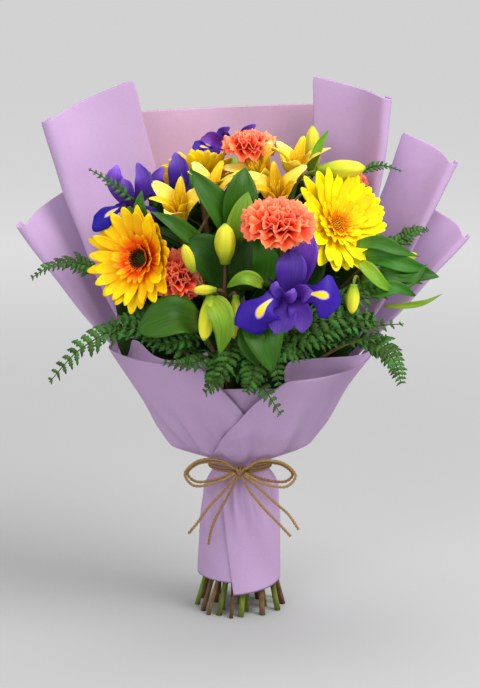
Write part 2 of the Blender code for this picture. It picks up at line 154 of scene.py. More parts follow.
def pipe(bm, route, radius, sides=10, tint=0.0, lobes=(0, 0.0, 0.0)):
    """Sweep a ring along the route; radius is a number or a function of the share travelled.
    Lobes are how many ridges the ring has, how deep they are, and their twist per millimetre."""
    route = [Vector(p) for p in route]
    lengths = [0.0]
    for a, b in zip(route, route[1:]):
        lengths.append(lengths[-1] + (b - a).length)
    layer, shade = bm.loops.layers.uv["UVMap"], bm.verts.layers.float["tint"]
    across = (route[1] - route[0]).orthogonal().normalized()
    rings = []
    for i, place in enumerate(route):
        ahead = (route[min(i + 1, len(route) - 1)] - route[max(i - 1, 0)]).normalized()
        across = (across - ahead * across.dot(ahead)).normalized()
        other = ahead.cross(across)
        size = radius(lengths[i] / lengths[-1]) if callable(radius) else radius
        ring = []
        for k in range(sides):
            angle = math.tau * k / sides
            swell = 1 + lobes[1] * math.cos(lobes[0] * (angle - lobes[2] * lengths[i]))
            vert = bm.verts.new(place + (across * math.cos(angle) + other * math.sin(angle)) * size * swell)
            vert[shade] = tint
            ring.append(vert)
        rings.append(ring)
    for i, (near, far) in enumerate(zip(rings, rings[1:])):
        for k in range(sides):
            face = bm.faces.new((near[k], near[(k + 1) % sides], far[(k + 1) % sides], far[k]))
            for loop, (c, r) in zip(face.loops, ((k, i), (k + 1, i), (k + 1, i + 1), (k, i + 1))):
                loop[layer].uv = (c / sides, lengths[r] / 10)
    bm.faces.new(rings[0][::-1])
    bm.faces.new(rings[-1])

# %% [markdown]
# ## Finishes
# Nothing in a bouquet is one flat colour. A petal's colour runs from its base to its tip,
# with fine veins along it, so each finish reads the petal's own UV map: u goes across
# and v goes from base to tip. The shade number shifts each petal's hue and brightness.

# %% Finishes: small tools for shader nodes
def srgb(*rgb):
    """A colour given as 0-255 screen values, as the linear numbers that shaders use."""
    return tuple(((c / 255 + 0.055) / 1.055) ** 2.4 if c > 10 else c / 255 / 12.92 for c in rgb)


def shader(name, roughness, specular=0.18):
    made = bpy.data.materials.new(name)
    made.use_nodes = True
    paint = made.node_tree.nodes["Principled BSDF"]
    paint.inputs["Roughness"].default_value = roughness
    paint.inputs["Specular IOR Level"].default_value = specular
    return made, made.node_tree, paint


def node(tree, kind, inputs=(), **settings):
    """Add a node, set its properties, and link or fill its inputs."""
    made = tree.nodes.new(kind)
    for key, value in settings.items():
        setattr(made, key, value)
    for key, value in dict(inputs).items():
        if isinstance(value, bpy.types.NodeSocket):
            tree.links.new(value, made.inputs[key])
        else:
            made.inputs[key].default_value = value
    return made


def calc(tree, operation, *values):
    return node(tree, "ShaderNodeMath", enumerate(values), operation=operation).outputs[0]


def ramp(tree, source, stops, interpolation="LINEAR"):
    """A colour ramp with the given (place, colour) stops, read at source."""
    made = node(tree, "ShaderNodeValToRGB", {"Fac": source})
    made.color_ramp.interpolation = interpolation
    bands = made.color_ramp.elements
    while len(bands) < len(stops):
        bands.new(0.5)
    for band, (place, colour) in zip(bands, stops):
        band.position = place
        band.color = (*colour, 1)
    return made.outputs["Color"]


def blended(tree, a, b, share, how="MULTIPLY"):
    """Two colours mixed; 0, 6, 7 and 2 are the colour sockets of the mix node."""
    return node(tree, "ShaderNodeMix", {0: share, 6: a, 7: b}, data_type="RGBA",
                blend_type=how).outputs[2]


def grain_of(tree, vector, scale, detail, roughness=0.5):
    return node(tree, "ShaderNodeTexNoise", {"Vector": vector, "Scale": scale, "Detail": detail,
                                             "Roughness": roughness}).outputs["Fac"]


def along_uv(tree, scale):
    """The UV map, and noise coordinates from it that are stretched by the given scale."""
    uv = node(tree, "ShaderNodeUVMap", uv_map="UVMap").outputs["UV"]
    return uv, node(tree, "ShaderNodeMapping", {"Vector": uv, "Scale": scale}).outputs[0]


def shaded(tree, colour, hue, value):
    """Shift a colour's hue and value by each petal's own shade number, from -1 to 1."""
    tint = node(tree, "ShaderNodeAttribute", attribute_name="tint").outputs["Fac"]
    return node(tree, "ShaderNodeHueSaturation",
                {"Color": colour, "Hue": calc(tree, "MULTIPLY_ADD", tint, hue, 0.5),
                 "Value": calc(tree, "MULTIPLY_ADD", tint, value, 1.0)}).outputs["Color"]


def coat(tree, paint, colour, height, strength, distance=0.0006):
    """Give the shader its colour, and a bump from the height."""
    tree.links.new(colour, paint.inputs["Base Color"])
    relief = node(tree, "ShaderNodeBump", {"Height": height, "Strength": strength,
                                           "Distance": distance})
    tree.links.new(relief.outputs[0], paint.inputs["Normal"])


# %% Finishes: petals, leaves and buds
def spot_mask(tree, split, centre, size):
    """One inside an oval at the centre, in the petal's own u and v, with a soft edge."""
    squares = [calc(tree, "POWER", calc(tree, "DIVIDE", calc(tree, "SUBTRACT", split.outputs[axis], middle),
                                        reach), 2.0)
               for axis, middle, reach in zip("XY", centre, size)]
    return node(tree, "ShaderNodeMapRange",
                {"Value": calc(tree, "ADD", *squares), "From Min": 1.2, "From Max": 0.75, "To Min": 0.0,
                 "To Max": 1.0}, interpolation_type="SMOOTHSTEP").outputs["Result"]


def petal_finish(name, stops, veins, depth=0.25, roughness=0.5, hue=0.01, value=0.12, bump=0.15,
                 throat=()):
    """Colour stops from base to tip as (place, red, green, blue), veins across, and optional
    oval throat marks as (width, height, red, green, blue)."""
    made, tree, paint = shader(name, roughness)
    uv, stretched = along_uv(tree, (veins, 1.6, 1.0))
    split = node(tree, "ShaderNodeSeparateXYZ", {0: uv})
    colour = ramp(tree, split.outputs["Y"], [(place, srgb(*rgb)) for place, *rgb in stops])
    streak = grain_of(tree, stretched, 1.0, 3.0, 0.6)
    grey = ramp(tree, streak, [(0.32, (0.45, 0.45, 0.45)), (0.62, (1, 1, 1))])
    colour = blended(tree, colour, grey, depth)
    for wide, high, *rgb in throat:
        mark = spot_mask(tree, split, (0.5, 0.5), (wide, high))
        colour = blended(tree, colour, (*srgb(*rgb), 1), mark, "MIX")
    coat(tree, paint, shaded(tree, colour, hue, value), streak, bump)
    return made


GOLD = petal_finish("golden petal", ((0, 236, 70, 0), (0.26, 255, 104, 0), (0.42, 255, 188, 0),
                                     (1, 255, 218, 0)), 9, 0.2)
LEMON = petal_finish("lemon petal", ((0, 250, 130, 0), (0.2, 255, 196, 0), (0.4, 255, 228, 0),
                                     (1, 255, 240, 0)), 9, 0.15)
TAWNY = petal_finish("tawny petal", ((0, 250, 140, 0), (0.35, 255, 184, 0), (1, 255, 216, 0)), 9)
FLORET = petal_finish("disc floret", ((0, 246, 150, 0), (0.6, 250, 170, 0), (1, 255, 216, 20)), 4)
DARK_FLORET = petal_finish("dark disc floret", ((0, 40, 20, 10), (0.7, 90, 50, 10),
                                                (1, 200, 140, 20)), 4)
CORAL = petal_finish("coral petal", ((0, 210, 14, 0), (0.55, 244, 50, 18), (0.9, 255, 96, 54),
                                     (1, 255, 146, 108)), 16, 0.2, 0.6, 0.008, 0.14)
FALL = petal_finish("iris fall", ((0, 58, 26, 116), (0.4, 50, 16, 136), (1, 46, 16, 150)), 18, 0.3,
                    throat=((0.13, 0.20, 170, 150, 220), (0.095, 0.17, 255, 206, 0)))
STANDARD = petal_finish("iris standard", ((0, 70, 36, 130), (0.5, 82, 38, 156), (1, 124, 84, 196)),
                        18, 0.6, value=0.2)
CREAM = petal_finish("cream petal", ((0, 226, 190, 20), (0.5, 250, 214, 40), (1, 252, 232, 120)), 8)
STREAKED = petal_finish("streaked petal", ((0, 200, 130, 10), (0.55, 246, 190, 0),
                                           (1, 244, 214, 40)), 22, 0.9)
BUD = petal_finish("bud", ((0, 120, 150, 30), (0.35, 196, 200, 40), (0.9, 236, 224, 60),
                           (1, 150, 170, 40)), 6)
LEAF = petal_finish("leaf", ((0, 104, 150, 50), (0.25, 58, 116, 24), (1, 48, 102, 18)), 20, 0.7, 0.4,
                    0.012, 0.3, 0.4)
# A darker copy of the leaf finish: painted shade for the leaves inside the bunch
SHADE_PAINTED_LEAF = petal_finish("leaf with painted shade", ((0, 44, 78, 18), (1, 38, 74, 12)), 20, 0.7, 0.45, 0.012, 0.35,
                         0.4)
FRESH_LEAF = petal_finish("fresh leaf", ((0, 150, 180, 50), (0.5, 116, 164, 34), (1, 96, 150, 30)),
                          12, 0.75, 0.45, 0.015, 0.15, 0.4)
FERN = petal_finish("fern", ((0, 70, 106, 40), (1, 46, 94, 28)), 8, 0.4, 0.55, 0.02, 0.45)
SHOOT = petal_finish("shoot", ((0, 92, 140, 40), (1, 120, 160, 50)), 10, 0.4, 0.5, 0.03, 0.2)
print(len(bpy.data.materials), "finishes so far")

# %% [markdown]
# ### Stems, paper and twine
# Cut stems are fibrous: most are olive green, and some are woody brown. The wrapper is
# plain dyed paper with no gloss: its look comes from soft broad tone changes and a fine
# grain. Jute is spun from coarse pale fibres, so it is streaky along each strand.

# %% Stem, paper and jute finishes
def round_finish(name, low, high, stretch, roughness, depth, bump):
    """Fibres that run along a stem or a strand, from its own UV map (v is in centimetres)."""
    made, tree, paint = shader(name, roughness)
    grain = grain_of(tree, along_uv(tree, stretch)[1], 1.0, 4.0, 0.65)
    colour = ramp(tree, grain, [(0.3, srgb(*low)), (0.7, srgb(*high))])
    coat(tree, paint, shaded(tree, colour, 0.015, depth), grain, bump)
    return made


def paper_finish(name, light, deep):
    """Matte dyed paper: cloudy tone over 60 mm, fine fibre grain, and faint handling creases."""
    made, tree, paint = shader(name, 0.85, 0.15)
    place = node(tree, "ShaderNodeTexCoord").outputs["Object"]
    cloud, fibre = grain_of(tree, place, 14.0, 2.0), grain_of(tree, place, 900.0, 2.0)
    crease = grain_of(tree, place, 45.0, 3.0)
    tone = ramp(tree, cloud, [(0.3, srgb(*deep)), (0.7, srgb(*light))])
    grain = ramp(tree, fibre, [(0.3, (0.86, 0.86, 0.86)), (0.7, (1, 1, 1))])
    height = calc(tree, "MULTIPLY_ADD", fibre, 0.05, crease)
    coat(tree, paint, blended(tree, tone, grain, 0.5), height, 0.25, 0.002)
    return made


LILAC = paper_finish("lilac paper", (190, 160, 198), (183, 153, 192))
PINK_LILAC = paper_finish("pink lilac paper", (196, 162, 186), (189, 155, 180))
STEM = round_finish("green stem", (76, 88, 26), (128, 140, 56), (7, 0.5, 1), 0.5, 0.3, 0.2)
WOODY = round_finish("woody stem", (66, 46, 30), (132, 100, 66), (7, 0.8, 1), 0.7, 0.3, 0.4)
JUTE = round_finish("jute", (98, 68, 38), (184, 146, 98), (5, 9, 1), 0.9, 0.2, 0.8)

# %% [markdown]
# ## Camera, floor and light
# The bouquet is seen almost level, from a little above, with a long lens. The floor is
# one wide pale plane that is open on every side, so the bouquet can be seen all round.
# One large soft lamp high on the right throws the faint shadow that falls to the left.

# %% Camera
VIEW_DISTANCE, VIEW_HEIGHT, VIEW_PITCH = 2.0, 0.27, math.radians(10)

camera = bpy.data.objects.new("camera", bpy.data.cameras.new("camera"))
bpy.context.collection.objects.link(camera)
camera.data.lens = 104.65
camera.data.clip_end = 400
camera.location = (0, -VIEW_DISTANCE * math.cos(VIEW_PITCH),
                   VIEW_HEIGHT + VIEW_DISTANCE * math.sin(VIEW_PITCH))
camera.rotation_euler = (math.radians(90) - VIEW_PITCH, 0, 0)
bpy.context.scene.camera = camera
bpy.context.scene.view_settings.view_transform = "Standard"

# %% Floor
FLOOR_RADIUS = 300.0
# The floor's grey near the flowers, darker as a painted shade round the foot that also evens out the lamps'
# fall-off, its grey far off, and where each of them begins
NEAR_PAINTED_SHADE, FAR_GREY, NEAR_REACH, FAR_REACH = (0.43, 0.43, 0.43), (0.97, 0.97, 0.97), 0.4, 3.2


def studio_floor():
    """One wide flat floor, open on every side, whose grey is darker near the bouquet: a painted shade round
    its foot, which also evens out the lamps' fall-off.
    """
    bm = bmesh.new()
    bmesh.ops.create_circle(bm, segments=64, radius=FLOOR_RADIUS, cap_ends=True)
    mesh = bpy.data.meshes.new("floor")
    bm.to_mesh(mesh)
    bm.free()
    floor = bpy.data.objects.new("floor", mesh)
    bpy.context.collection.objects.link(floor)
    made, tree, paint = shader("floor grey with painted shade", 0.9, 0.0)
    place = node(tree, "ShaderNodeTexCoord").outputs["Object"]
    away = node(tree, "ShaderNodeVectorMath", {0: place}, operation="LENGTH").outputs["Value"]
    share = node(tree, "ShaderNodeMapRange", {"Value": away, "From Min": NEAR_REACH,
                                              "From Max": FAR_REACH}).outputs["Result"]
    # Painted shade: the grey is darkest round the bouquet's foot and pales with distance
    grey = ramp(tree, share, [(0.0, NEAR_PAINTED_SHADE), (1.0, FAR_GREY)], "EASE")
    tree.links.new(grey, paint.inputs["Base Color"])
    mesh.materials.append(made)


studio_floor()

# %% Lamps
LAMP_AIM = Vector((0, 0, 0.25))
# Each lamp's place, size and power
LAMPS = {"key": ((1.2, -0.9, 1.9), 1.4, 42), "front fill": ((-1.2, -2.4, 1.2), 1.6, 20),
         "backdrop": ((0.0, 0.3, 1.5), 1.2, 9)}
SKY_STRENGTH = 0.66

for name, (place, size, power) in LAMPS.items():
    data = bpy.data.lights.new(name, "AREA")
    data.shape = "DISK"
    data.size = size
    data.energy = power
    holder = bpy.data.objects.new(name, data)
    holder.location = place
    holder.rotation_euler = (LAMP_AIM - Vector(place)).to_track_quat("-Z", "Y").to_euler()
    bpy.context.collection.objects.link(holder)
world = bpy.data.worlds.new("studio")
world.use_nodes = True
sky = world.node_tree.nodes["Background"].inputs
sky["Color"].default_value = (1.0, 1.0, 1.0, 1)
sky["Strength"].default_value = SKY_STRENGTH
bpy.context.scene.world = world

# %% [markdown]
# ## Twine
# The wrapper is closed by one jute string wound round the neck and tied in a bow. Each
# loop and tail leaves the knot and hangs in front of the paper. The strand is
# two yarns twisted together, so its outline is a peanut that turns as it goes along.

# %% Twine: band, knot and bow
TIE_HEIGHT = 148.0
BAND_RADIUS = 30.9
TWINE = 2.6
KNOT_CENTRE = Vector((0, -BAND_RADIUS - 4, TIE_HEIGHT))
PLIES = (2, 0.2, 0.9)  # two yarns, how deep the groove is, and radians of twist in a millimetre
SLACK = Vector((0, -0.3, 0))  # how far the bow hangs in front of its given points
BAND_TURNS, BAND_STEPS = (-1.3, 1.3), 120
KNOT_LEANS, KNOT_STEPS = (-0.5, 0.1, 0.6), 36


def pulled(points, steps=20):
    """A smooth route through given points, dense enough for a twisted strand."""
    count = (len(points) - 1) * steps
    return [through(points, i / count) for i in range(count + 1)]


def cord(name, points, node_name):
    """One strand of the bow; the CAD node it stands for is its round bar."""
    route = pulled([Vector(p) + SLACK for p in points])
    length = path_length(route)
    bm = new_bouquet_mesh()
    pipe(bm, route, TWINE / 2, 12, random.Random(name).uniform(-1, 1), PLIES)
    strand = publish(name, bm, JUTE, [node_name], slot="jute_twine")
    [c * MM for c in route[0]]
    [[c * MM for c in p] for p in route]


# Each loop is two strands, one lying just outside the other
LOOPS = {
    "left": (((-5.5, -34, 150), (-20, -39, 158), (-40, -39, 157), (-52, -38, 147), (-43, -38, 138),
              (-24, -37, 140), (-5.5, -34, 146.5)),
             ((-5, -36.5, 150.5), (-20, -42, 161), (-41, -42, 160), (-54.5, -41, 147),
              (-45, -41, 134.5), (-23, -41, 138), (-5, -37, 146))),
    "right": (((5.5, -34, 150), (20, -39, 157), (40, -39, 156), (52, -38, 146), (44, -38, 138),
               (24, -37, 140), (5.5, -34, 146.5)),
              ((5, -36.5, 150.5), (20, -42, 160), (42, -42, 158), (55, -41, 145),
               (45, -41, 133.5), (23, -41, 137), (5, -37, 146))),
}
TAILS = {
    "left_outer": ((-3.8, -36.2, 144.6), (-14, -44, 132), (-30, -50, 116), (-42, -53, 100),
                   (-51, -54, 89)),
    "left_inner": ((-1.8, -37, 143.2), (-11, -46, 127), (-21, -52, 110), (-28, -56, 95), (-31, -57, 79)),
    "right_inner": ((1.8, -37, 143.2), (10, -46, 130), (24, -52, 114), (38, -55, 100), (50, -56, 87)),
    "right_outer": ((3.8, -36.2, 144.6), (18, -44, 134), (34, -49, 120), (48, -52, 108),
                    (58, -53, 93)),
}
for name, strands in LOOPS.items():
    for k, points in enumerate(strands):
        cord(f"twine_loop_{name}_strand_{k + 1}", points, f"twine_loop_{name}")
for name, points in TAILS.items():
    cord(f"twine_tail_{name}_strand", points, f"twine_tail_{name}")


def band_and_knot():
    """Two turns round the neck, and a knot of three short wraps over the turns."""
    bm = new_bouquet_mesh()
    for k, rise in enumerate(BAND_TURNS):
        route = [round_axis(math.tau * i / BAND_STEPS - math.pi / 2, BAND_RADIUS, TIE_HEIGHT + rise)
                 for i in range(BAND_STEPS + 1)]
        pipe(bm, route, TWINE / 2, 12, 0.3 * k, PLIES)
    for k, lean in enumerate(KNOT_LEANS):
        route = []
        for i in range(KNOT_STEPS + 4):  # a little more than one turn, so that the end is hidden
            a = math.tau * i / KNOT_STEPS
            route.append(KNOT_CENTRE + Vector((math.sin(a) * lean * 3 + (k - 1) * 2.2,
                                               math.cos(a) * 3.0, math.sin(a) * 4.0)))
        pipe(bm, route, TWINE / 2, 10, -0.3 * k, PLIES)
    publish("twine_band_turns", bm, JUTE, ["twine_band"], slot="jute_twine")


band_and_knot()

# %% [markdown]
# ## Wrapping paper
# A florist lays several square sheets, folds their edges over in soft rolls and pulls
# them together at the tie. Six sheets stand in a fan behind the flowers and three wrap
# the front, and below the tie the outer two flare into a skirt round the stems. Each
# sheet is a grid of points on its middle surface, given a paper's thickness.

# %% Paper: where every sheet passes through the tie
NECK_RADIUS, LAYER_PITCH, PAPER_SPACE = 18.2, 2.0, 1.1
NECK_LOW, NECK_HIGH, INNER_FOOT = 143.0, 153.0, 140.0
SHEET_THICKNESS = 0.3


def neck_point(layer, angle, height):
    radius = NECK_RADIUS + layer * LAYER_PITCH + PAPER_SPACE / 2
    return round_axis(math.radians(angle), radius, height)


def smooth_route(points, steps):
    """A smooth curve through the points, with some points between each pair."""
    points = [Vector(p) for p in points]
    route = [points[0]]
    for i in range(len(points) - 1):
        before, after = points[max(i - 1, 0)], points[min(i + 2, len(points) - 1)]
        route += interpolate_bezier(points[i], points[i] + (points[i + 1] - before) / 6,
                                    points[i + 1] - (after - points[i]) / 6, points[i + 1],
                                    steps + 1)[1:]
    return route


def pleats(wide, fine):
    """Sharp ridges at one angle, with smaller smooth ones between them."""
    return 1 - 2 * abs(math.sin(wide)) + 0.7 * math.sin(fine)


PLEAT_HIGH, PLEAT_LOW, PAPER_WAVE = 4.0, 2.8, 3.0  # depth above and below the tie, and far off


def crumple(point):
    """Paper squeezed into a tie stands in sharp pleats that fade out away from it."""
    turn, z = math.atan2(point.y, point.x), point.z
    high = smoothstep(153, 163, z) * (1 - smoothstep(168, 235, z))
    low = smoothstep(143, 134, z) * (1 - smoothstep(126, 70, z))
    above = pleats(4.5 * turn + 0.9, 17 * turn + z / 20)
    below = pleats(6.5 * turn + 0.4 + z / 90, 19 * turn + z / 14)
    loose = noise.noise(point * 0.018) * PAPER_WAVE * smoothstep(160, 260, z)
    return point + round_axis(turn, 1, 0) * (above * PLEAT_HIGH * high + below * PLEAT_LOW * low + loose)


def inwards(point):
    return -Vector((point.x, point.y, 0)).normalized()


ROLL_STEPS, FLAP_STEPS = 6, 5


def fold_back(row, at_start, radius, flap):
    """The same row with its edge rolled inwards and a flap laid back behind it."""
    ordered = row if at_start else row[::-1]
    edge = ordered[0]
    ahead = (edge - ordered[1]).normalized()
    inward = inwards(edge)
    inward = (inward - ahead * inward.dot(ahead)).normalized()
    extra = [edge + (ahead * math.sin(a) + inward * (1 - math.cos(a))) * radius
             for a in (math.pi * k / ROLL_STEPS for k in range(1, ROLL_STEPS + 1))]
    extra += [extra[-1] - ahead * flap * k / FLAP_STEPS
              - inward * radius * 1.5 * smoothstep(0, FLAP_STEPS, k) for k in range(1, FLAP_STEPS + 1)]
    ordered = extra[::-1] + list(ordered)
    return ordered if at_start else ordered[::-1]


# A soft double fold along a rim, as (inward, up): over the edge, down, and up to a flap
RIM_FOLD = ((0.10, 0.06), (0.30, -0.22), (0.60, -0.50), (0.95, -0.45), (1.20, -0.05), (1.30, 0.45),
            (1.28, 0.95))


def folded_rim(rows, size_at):
    """More rows on top, which fold the rim inwards and leave an open trough behind its edge."""
    fold = []
    for inward_share, up_share in RIM_FOLD:
        row = []
        for i, edge in enumerate(rows[-1]):
            size = size_at(i / (len(rows[-1]) - 1))
            row.append(edge + (inwards(edge) * inward_share + UP * up_share) * size)
        fold.append(row)
    return rows + fold


def paper(name, grid, finish, slot):
    """A sheet from rows of points; its flat size is its longest row and its longest column."""
    bm = new_bouquet_mesh()
    rows = [[crumple(p) for p in row] for row in grid]
    across, along = len(rows[0]) - 1, len(rows) - 1
    surface(bm, lambda u, v: rows[round(v * along)][round(u * across)], across, along)
    area = sum(face.calc_area() for face in bm.faces) * MM * MM
    width, length = (max(map(path_length, lines)) * MM for lines in (rows, zip(*rows)))
    made = publish(f"{name}_sheet", bm, finish, [name], SHEET_THICKNESS, slot, 1)
    print(f"  {name} cut {width * 1000:.0f} x {length * 1000:.0f} mm, {area * 10000:.0f} cm2")


# %% Paper: the upright fan
ROLLED = ((0.0, 0.0), (0.20, 0.06), (0.42, 0.11), (0.62, 0.10), (0.80, 0.02), (0.93, -0.04),
          (1.0, 0.01), (0.97, 0.09), (0.86, 0.13))
BOWED = ((0.0, 0.0), (0.12, 0.05), (0.25, 0.09), (0.37, 0.11), (0.50, 0.12), (0.63, 0.11),
         (0.75, 0.09), (0.88, 0.05), (1.0, 0.0))
ROW_DEPTH = (0.4, 0.8, 1.0)
# Each sheet's layer and angles at the tie, its section, and its two edges at three heights
FAN = {
    "back_left": (0, (105, 200), ROLLED,
                  (((-36, 45, 277), (-114, -2, 283)), ((-76, 58, 408), (-167, 12, 398)),
                   ((-107, 60, 531), (-195, 15, 490)))),
    "back_right": (0, (75, -45), ROLLED,
                   (((41, 45, 277), (105, 5, 283)), ((71, 58, 408), (135, 14, 413)),
                    ((73, 62, 535), (150, 18, 513)))),
    "back": (1, (150, 30), BOWED,
             (((-66, 54, 276), (66, 54, 276)), ((-113, 76, 392), (113, 76, 392)),
              ((-133, 84, 495), (100, 84, 506)))),
    "side_left": (1, (165, 255), ROLLED,
                  (((-86, 44, 263), (-126, -13, 271)), ((-130, 46, 359), (-178, -8, 332)),
                   ((-157, 48, 430), (-219, 0, 387)))),
    "side_right": (1, (15, -75), ROLLED,
                   (((84, 40, 273), (121, -8, 281)), ((133, 44, 395), (183, -6, 390)),
                    ((164, 48, 479), (212, 0, 450)))),
    "low_right": (2, (0, -75), ROLLED,
                  (((100, 36, 265), (129, -14, 273)), ((156, 28, 346), (183, -16, 332)),
                   ((191, 30, 405), (225, -10, 378)))),
}
FAN_COLUMNS = 32

for name, (layer, arc, section, rows) in FAN.items():
    columns = []
    for i in range(FAN_COLUMNS + 1):
        share = i / FAN_COLUMNS
        along, depth, _ = through([(*pair, 0) for pair in section], share)
        angle = mix(arc[0], arc[1], share)
        column = [neck_point(layer, angle, height) for height in (NECK_LOW, NECK_HIGH)]
        for (inner, outer), deep in zip(rows, ROW_DEPTH):
            inner, outer = Vector(inner), Vector(outer)
            chord = outer - inner
            away = Vector((-chord.y, chord.x, 0)).normalized()
            if away.y < 0:
                away = -away
            column.append(inner + chord * along + away * depth * deep * chord.length)
        foot = neck_point(layer, angle, INNER_FOOT)
        columns.append([foot, column[0]] + smooth_route(column, 6)[5:])
    finish, kind = (PINK_LILAC, "pink_lilac_paper") if name == "back" else (LILAC, "lilac_paper")
    paper(f"paper_{name}", list(zip(*columns)), finish, kind)

# %% Paper: the sheets wrapped round the front, and the skirt
# Each row of a sheet, from its foot up: height at the start, middle and end, half-width,
# half-depth, and the angles where it starts and ends. A row without a width is at the neck
FRONT = {
    "inner": (3, ((INNER_FOOT,) * 3 + (0, 0, 240, 300), (NECK_LOW,) * 3 + (0, 0, 240, 300),
                  (NECK_HIGH,) * 3 + (0, 0, 240, 300), (170, 170, 170, 54, 38, 240, 300),
                  (205, 205, 205, 88, 64, 240, 300), (236, 240, 238, 102, 78, 240, 300))),
    "front_left": (4, ((40, 36, 33, 43.5, 44, 90, 300), (95, 95, 95, 40, 37, 90, 300),
                       (125, 125, 125, 36, 33, 90, 300), (NECK_LOW,) * 3 + (0, 0, 90, 300),
                       (NECK_HIGH,) * 3 + (0, 0, 90, 300), (168, 168, 168, 66, 45, 125, 292),
                       (190, 190, 190, 82, 60, 150, 284), (226, 226, 226, 105, 80, 165, 266),
                       (268, 266, 262, 131, 95, 172, 252))),
    "front_right": (5, ((22, 31, 39, 41, 47, 262, 465), (95, 95, 95, 41, 40, 248, 465),
                        (125, 125, 125, 38, 36, 242, 465), (NECK_LOW,) * 3 + (0, 0, 240, 465),
                        (NECK_HIGH,) * 3 + (0, 0, 240, 465), (168, 168, 168, 68, 49, 246, 420),
                        (190, 190, 190, 84, 65, 260, 392), (226, 226, 226, 106, 85, 279, 378),
                        (250, 256, 270, 134, 100, 291, 368))),
}
FRONT_COLUMNS = 48
RIM_LOBE = 0.66  # where the first lobe of the left rim ends


def left_rim(u):
    """Two lobes side by side."""
    share = u / RIM_LOBE if u < RIM_LOBE else (u - RIM_LOBE) / (1 - RIM_LOBE)
    return 4 + 10 * math.sin(math.pi * share) ** 2


def right_rim(u):
    """A single teardrop at the free edge."""
    return 1 + 16 * smoothstep(0.10, 0.26, u) * smoothstep(0.95, 0.3, u)


RIM_SIZE = {"front_left": left_rim, "front_right": right_rim}

for name, (layer, rows) in FRONT.items():
    columns = []
    for i in range(FRONT_COLUMNS + 1):
        share = i / FRONT_COLUMNS
        column = []
        for first, middle, last, wide, deep, start, end in rows:
            angle = mix(start, end, share)
            height = mix(first, last, share) + (middle - (first + last) / 2) * 4 * share * (1 - share)
            turn = math.radians(angle)
            column.append(Vector((wide * math.cos(turn), deep * math.sin(turn), height)) if wide
                          else neck_point(layer, angle, height))
        fine = [column[0]]
        for near, far in zip(column, column[1:]):
            fine += [near.lerp(far, k / 4) for k in range(1, 5)]
        columns.append(fine)
    grid = list(zip(*columns))
    if name != "inner":
        # The free edge of each front sheet is rounded back on itself, wider towards the rim
        opened = [smoothstep(160, 262, row[FRONT_COLUMNS // 2].z) for row in grid]
        grid = [fold_back(row, name == "front_right", mix(0.6, 2.5, wide), mix(4, 8, wide))
                for row, wide in zip(grid, opened)]
        grid = folded_rim(grid, RIM_SIZE[name])
    paper(f"paper_{name}", grid, LILAC, "lilac_paper")

# %% [markdown]
# ## Stems
# The stems are laid at a slant one after another, so they cross in a spiral at the tie
# and spread again below it. Their cut ends carry the bouquet. Each runs straight from
# the floor through the tie, then bends to the back of its flower, as in the plain model.

# %% Stems: a spiral through the tie
STEM_RINGS = ((0.0, 1, 0.0), (6.2, 6, 0.17), (12.3, 12, 0.2836), (16.0, 12, 0.31))
STEM_FOOT = 5.8
JOINT_SPACING = 62  # from one faint joint of a stem to the next
BROWN = ("carnation_left", "carnation_top", "alstroemeria_left", "alstroemeria_front", "iris_back_left",
         "gerbera_top", "carnation_right", "foliage_front", "foliage_left", "fern")
STEM_ROUTES = []  # filled as the stems are made


def stem_route(seat, facing, place):
    """From the floor, straight through the tie, then bending to the flower's back."""
    radius, count, lean = STEM_RINGS[place[0]]
    angle = math.tau * (place[1] + (0.5 if place[0] == 2 else 0.0)) / count
    waist = round_axis(angle, radius, TIE_HEIGHT)
    rise = Vector((-lean * math.sin(angle), lean * math.cos(angle), 1.0))
    seat, facing = Vector(seat), Vector(facing).normalized()
    reach = (seat - waist).length
    bend = interpolate_bezier(waist, waist + rise.normalized() * reach * 0.35,
                              seat - facing * reach * 0.25, seat, 24)
    return [waist - rise * TIE_HEIGHT * (1 - k / 12) for k in range(12)] + list(bend)


def stem_into(bm, seat, facing, place, thickness, tint):
    """A ribbed stem with a faint joint at intervals, thicker up to the tie than above it."""
    route = stem_route(seat, facing, place)
    total = path_length(route)

    def radius(share):
        away = share * total
        joint = max(0.0, 1 - abs((away % JOINT_SPACING) - JOINT_SPACING / 2) / 3)
        return mix(min(STEM_FOOT, thickness * 1.25), thickness, smoothstep(90, 170, away)) / 2 \
            * (1 + 0.12 * joint)

    pipe(bm, route, radius, 10, tint, (5, 0.05, 0.01))
    return route


def stem_piece(node_name, seat, facing, place, thickness, extra=None):
    """Publish a whole stem, with what extra adds to it, cut flat at the floor."""
    dice = random.Random(node_name)
    bm = new_bouquet_mesh()
    STEM_ROUTES.append(stem_into(bm, seat, facing, place, thickness, dice.uniform(-1, 1)))
    if extra:
        extra(bm, dice)
    floor_cut = bm.verts[:] + bm.edges[:] + bm.faces[:]
    bmesh.ops.bisect_plane(bm, geom=floor_cut, plane_co=(0, 0, 0.02), plane_no=(0, 0, 1),
                           clear_inner=True)
    bmesh.ops.holes_fill(bm, edges=[e for e in bm.edges if e.is_boundary], sides=0)
    finish = WOODY if node_name.startswith(BROWN) else STEM
    publish(f"{node_name}_green", bm, finish, [node_name], slot="green_stem")


# %% [markdown]
# ## Blades
# A petal, a leaf and a leaflet of fern are all one thing to a modeller: a strip along a
# curved spine, with an outline, a fold along its middle and some waviness at the edge.

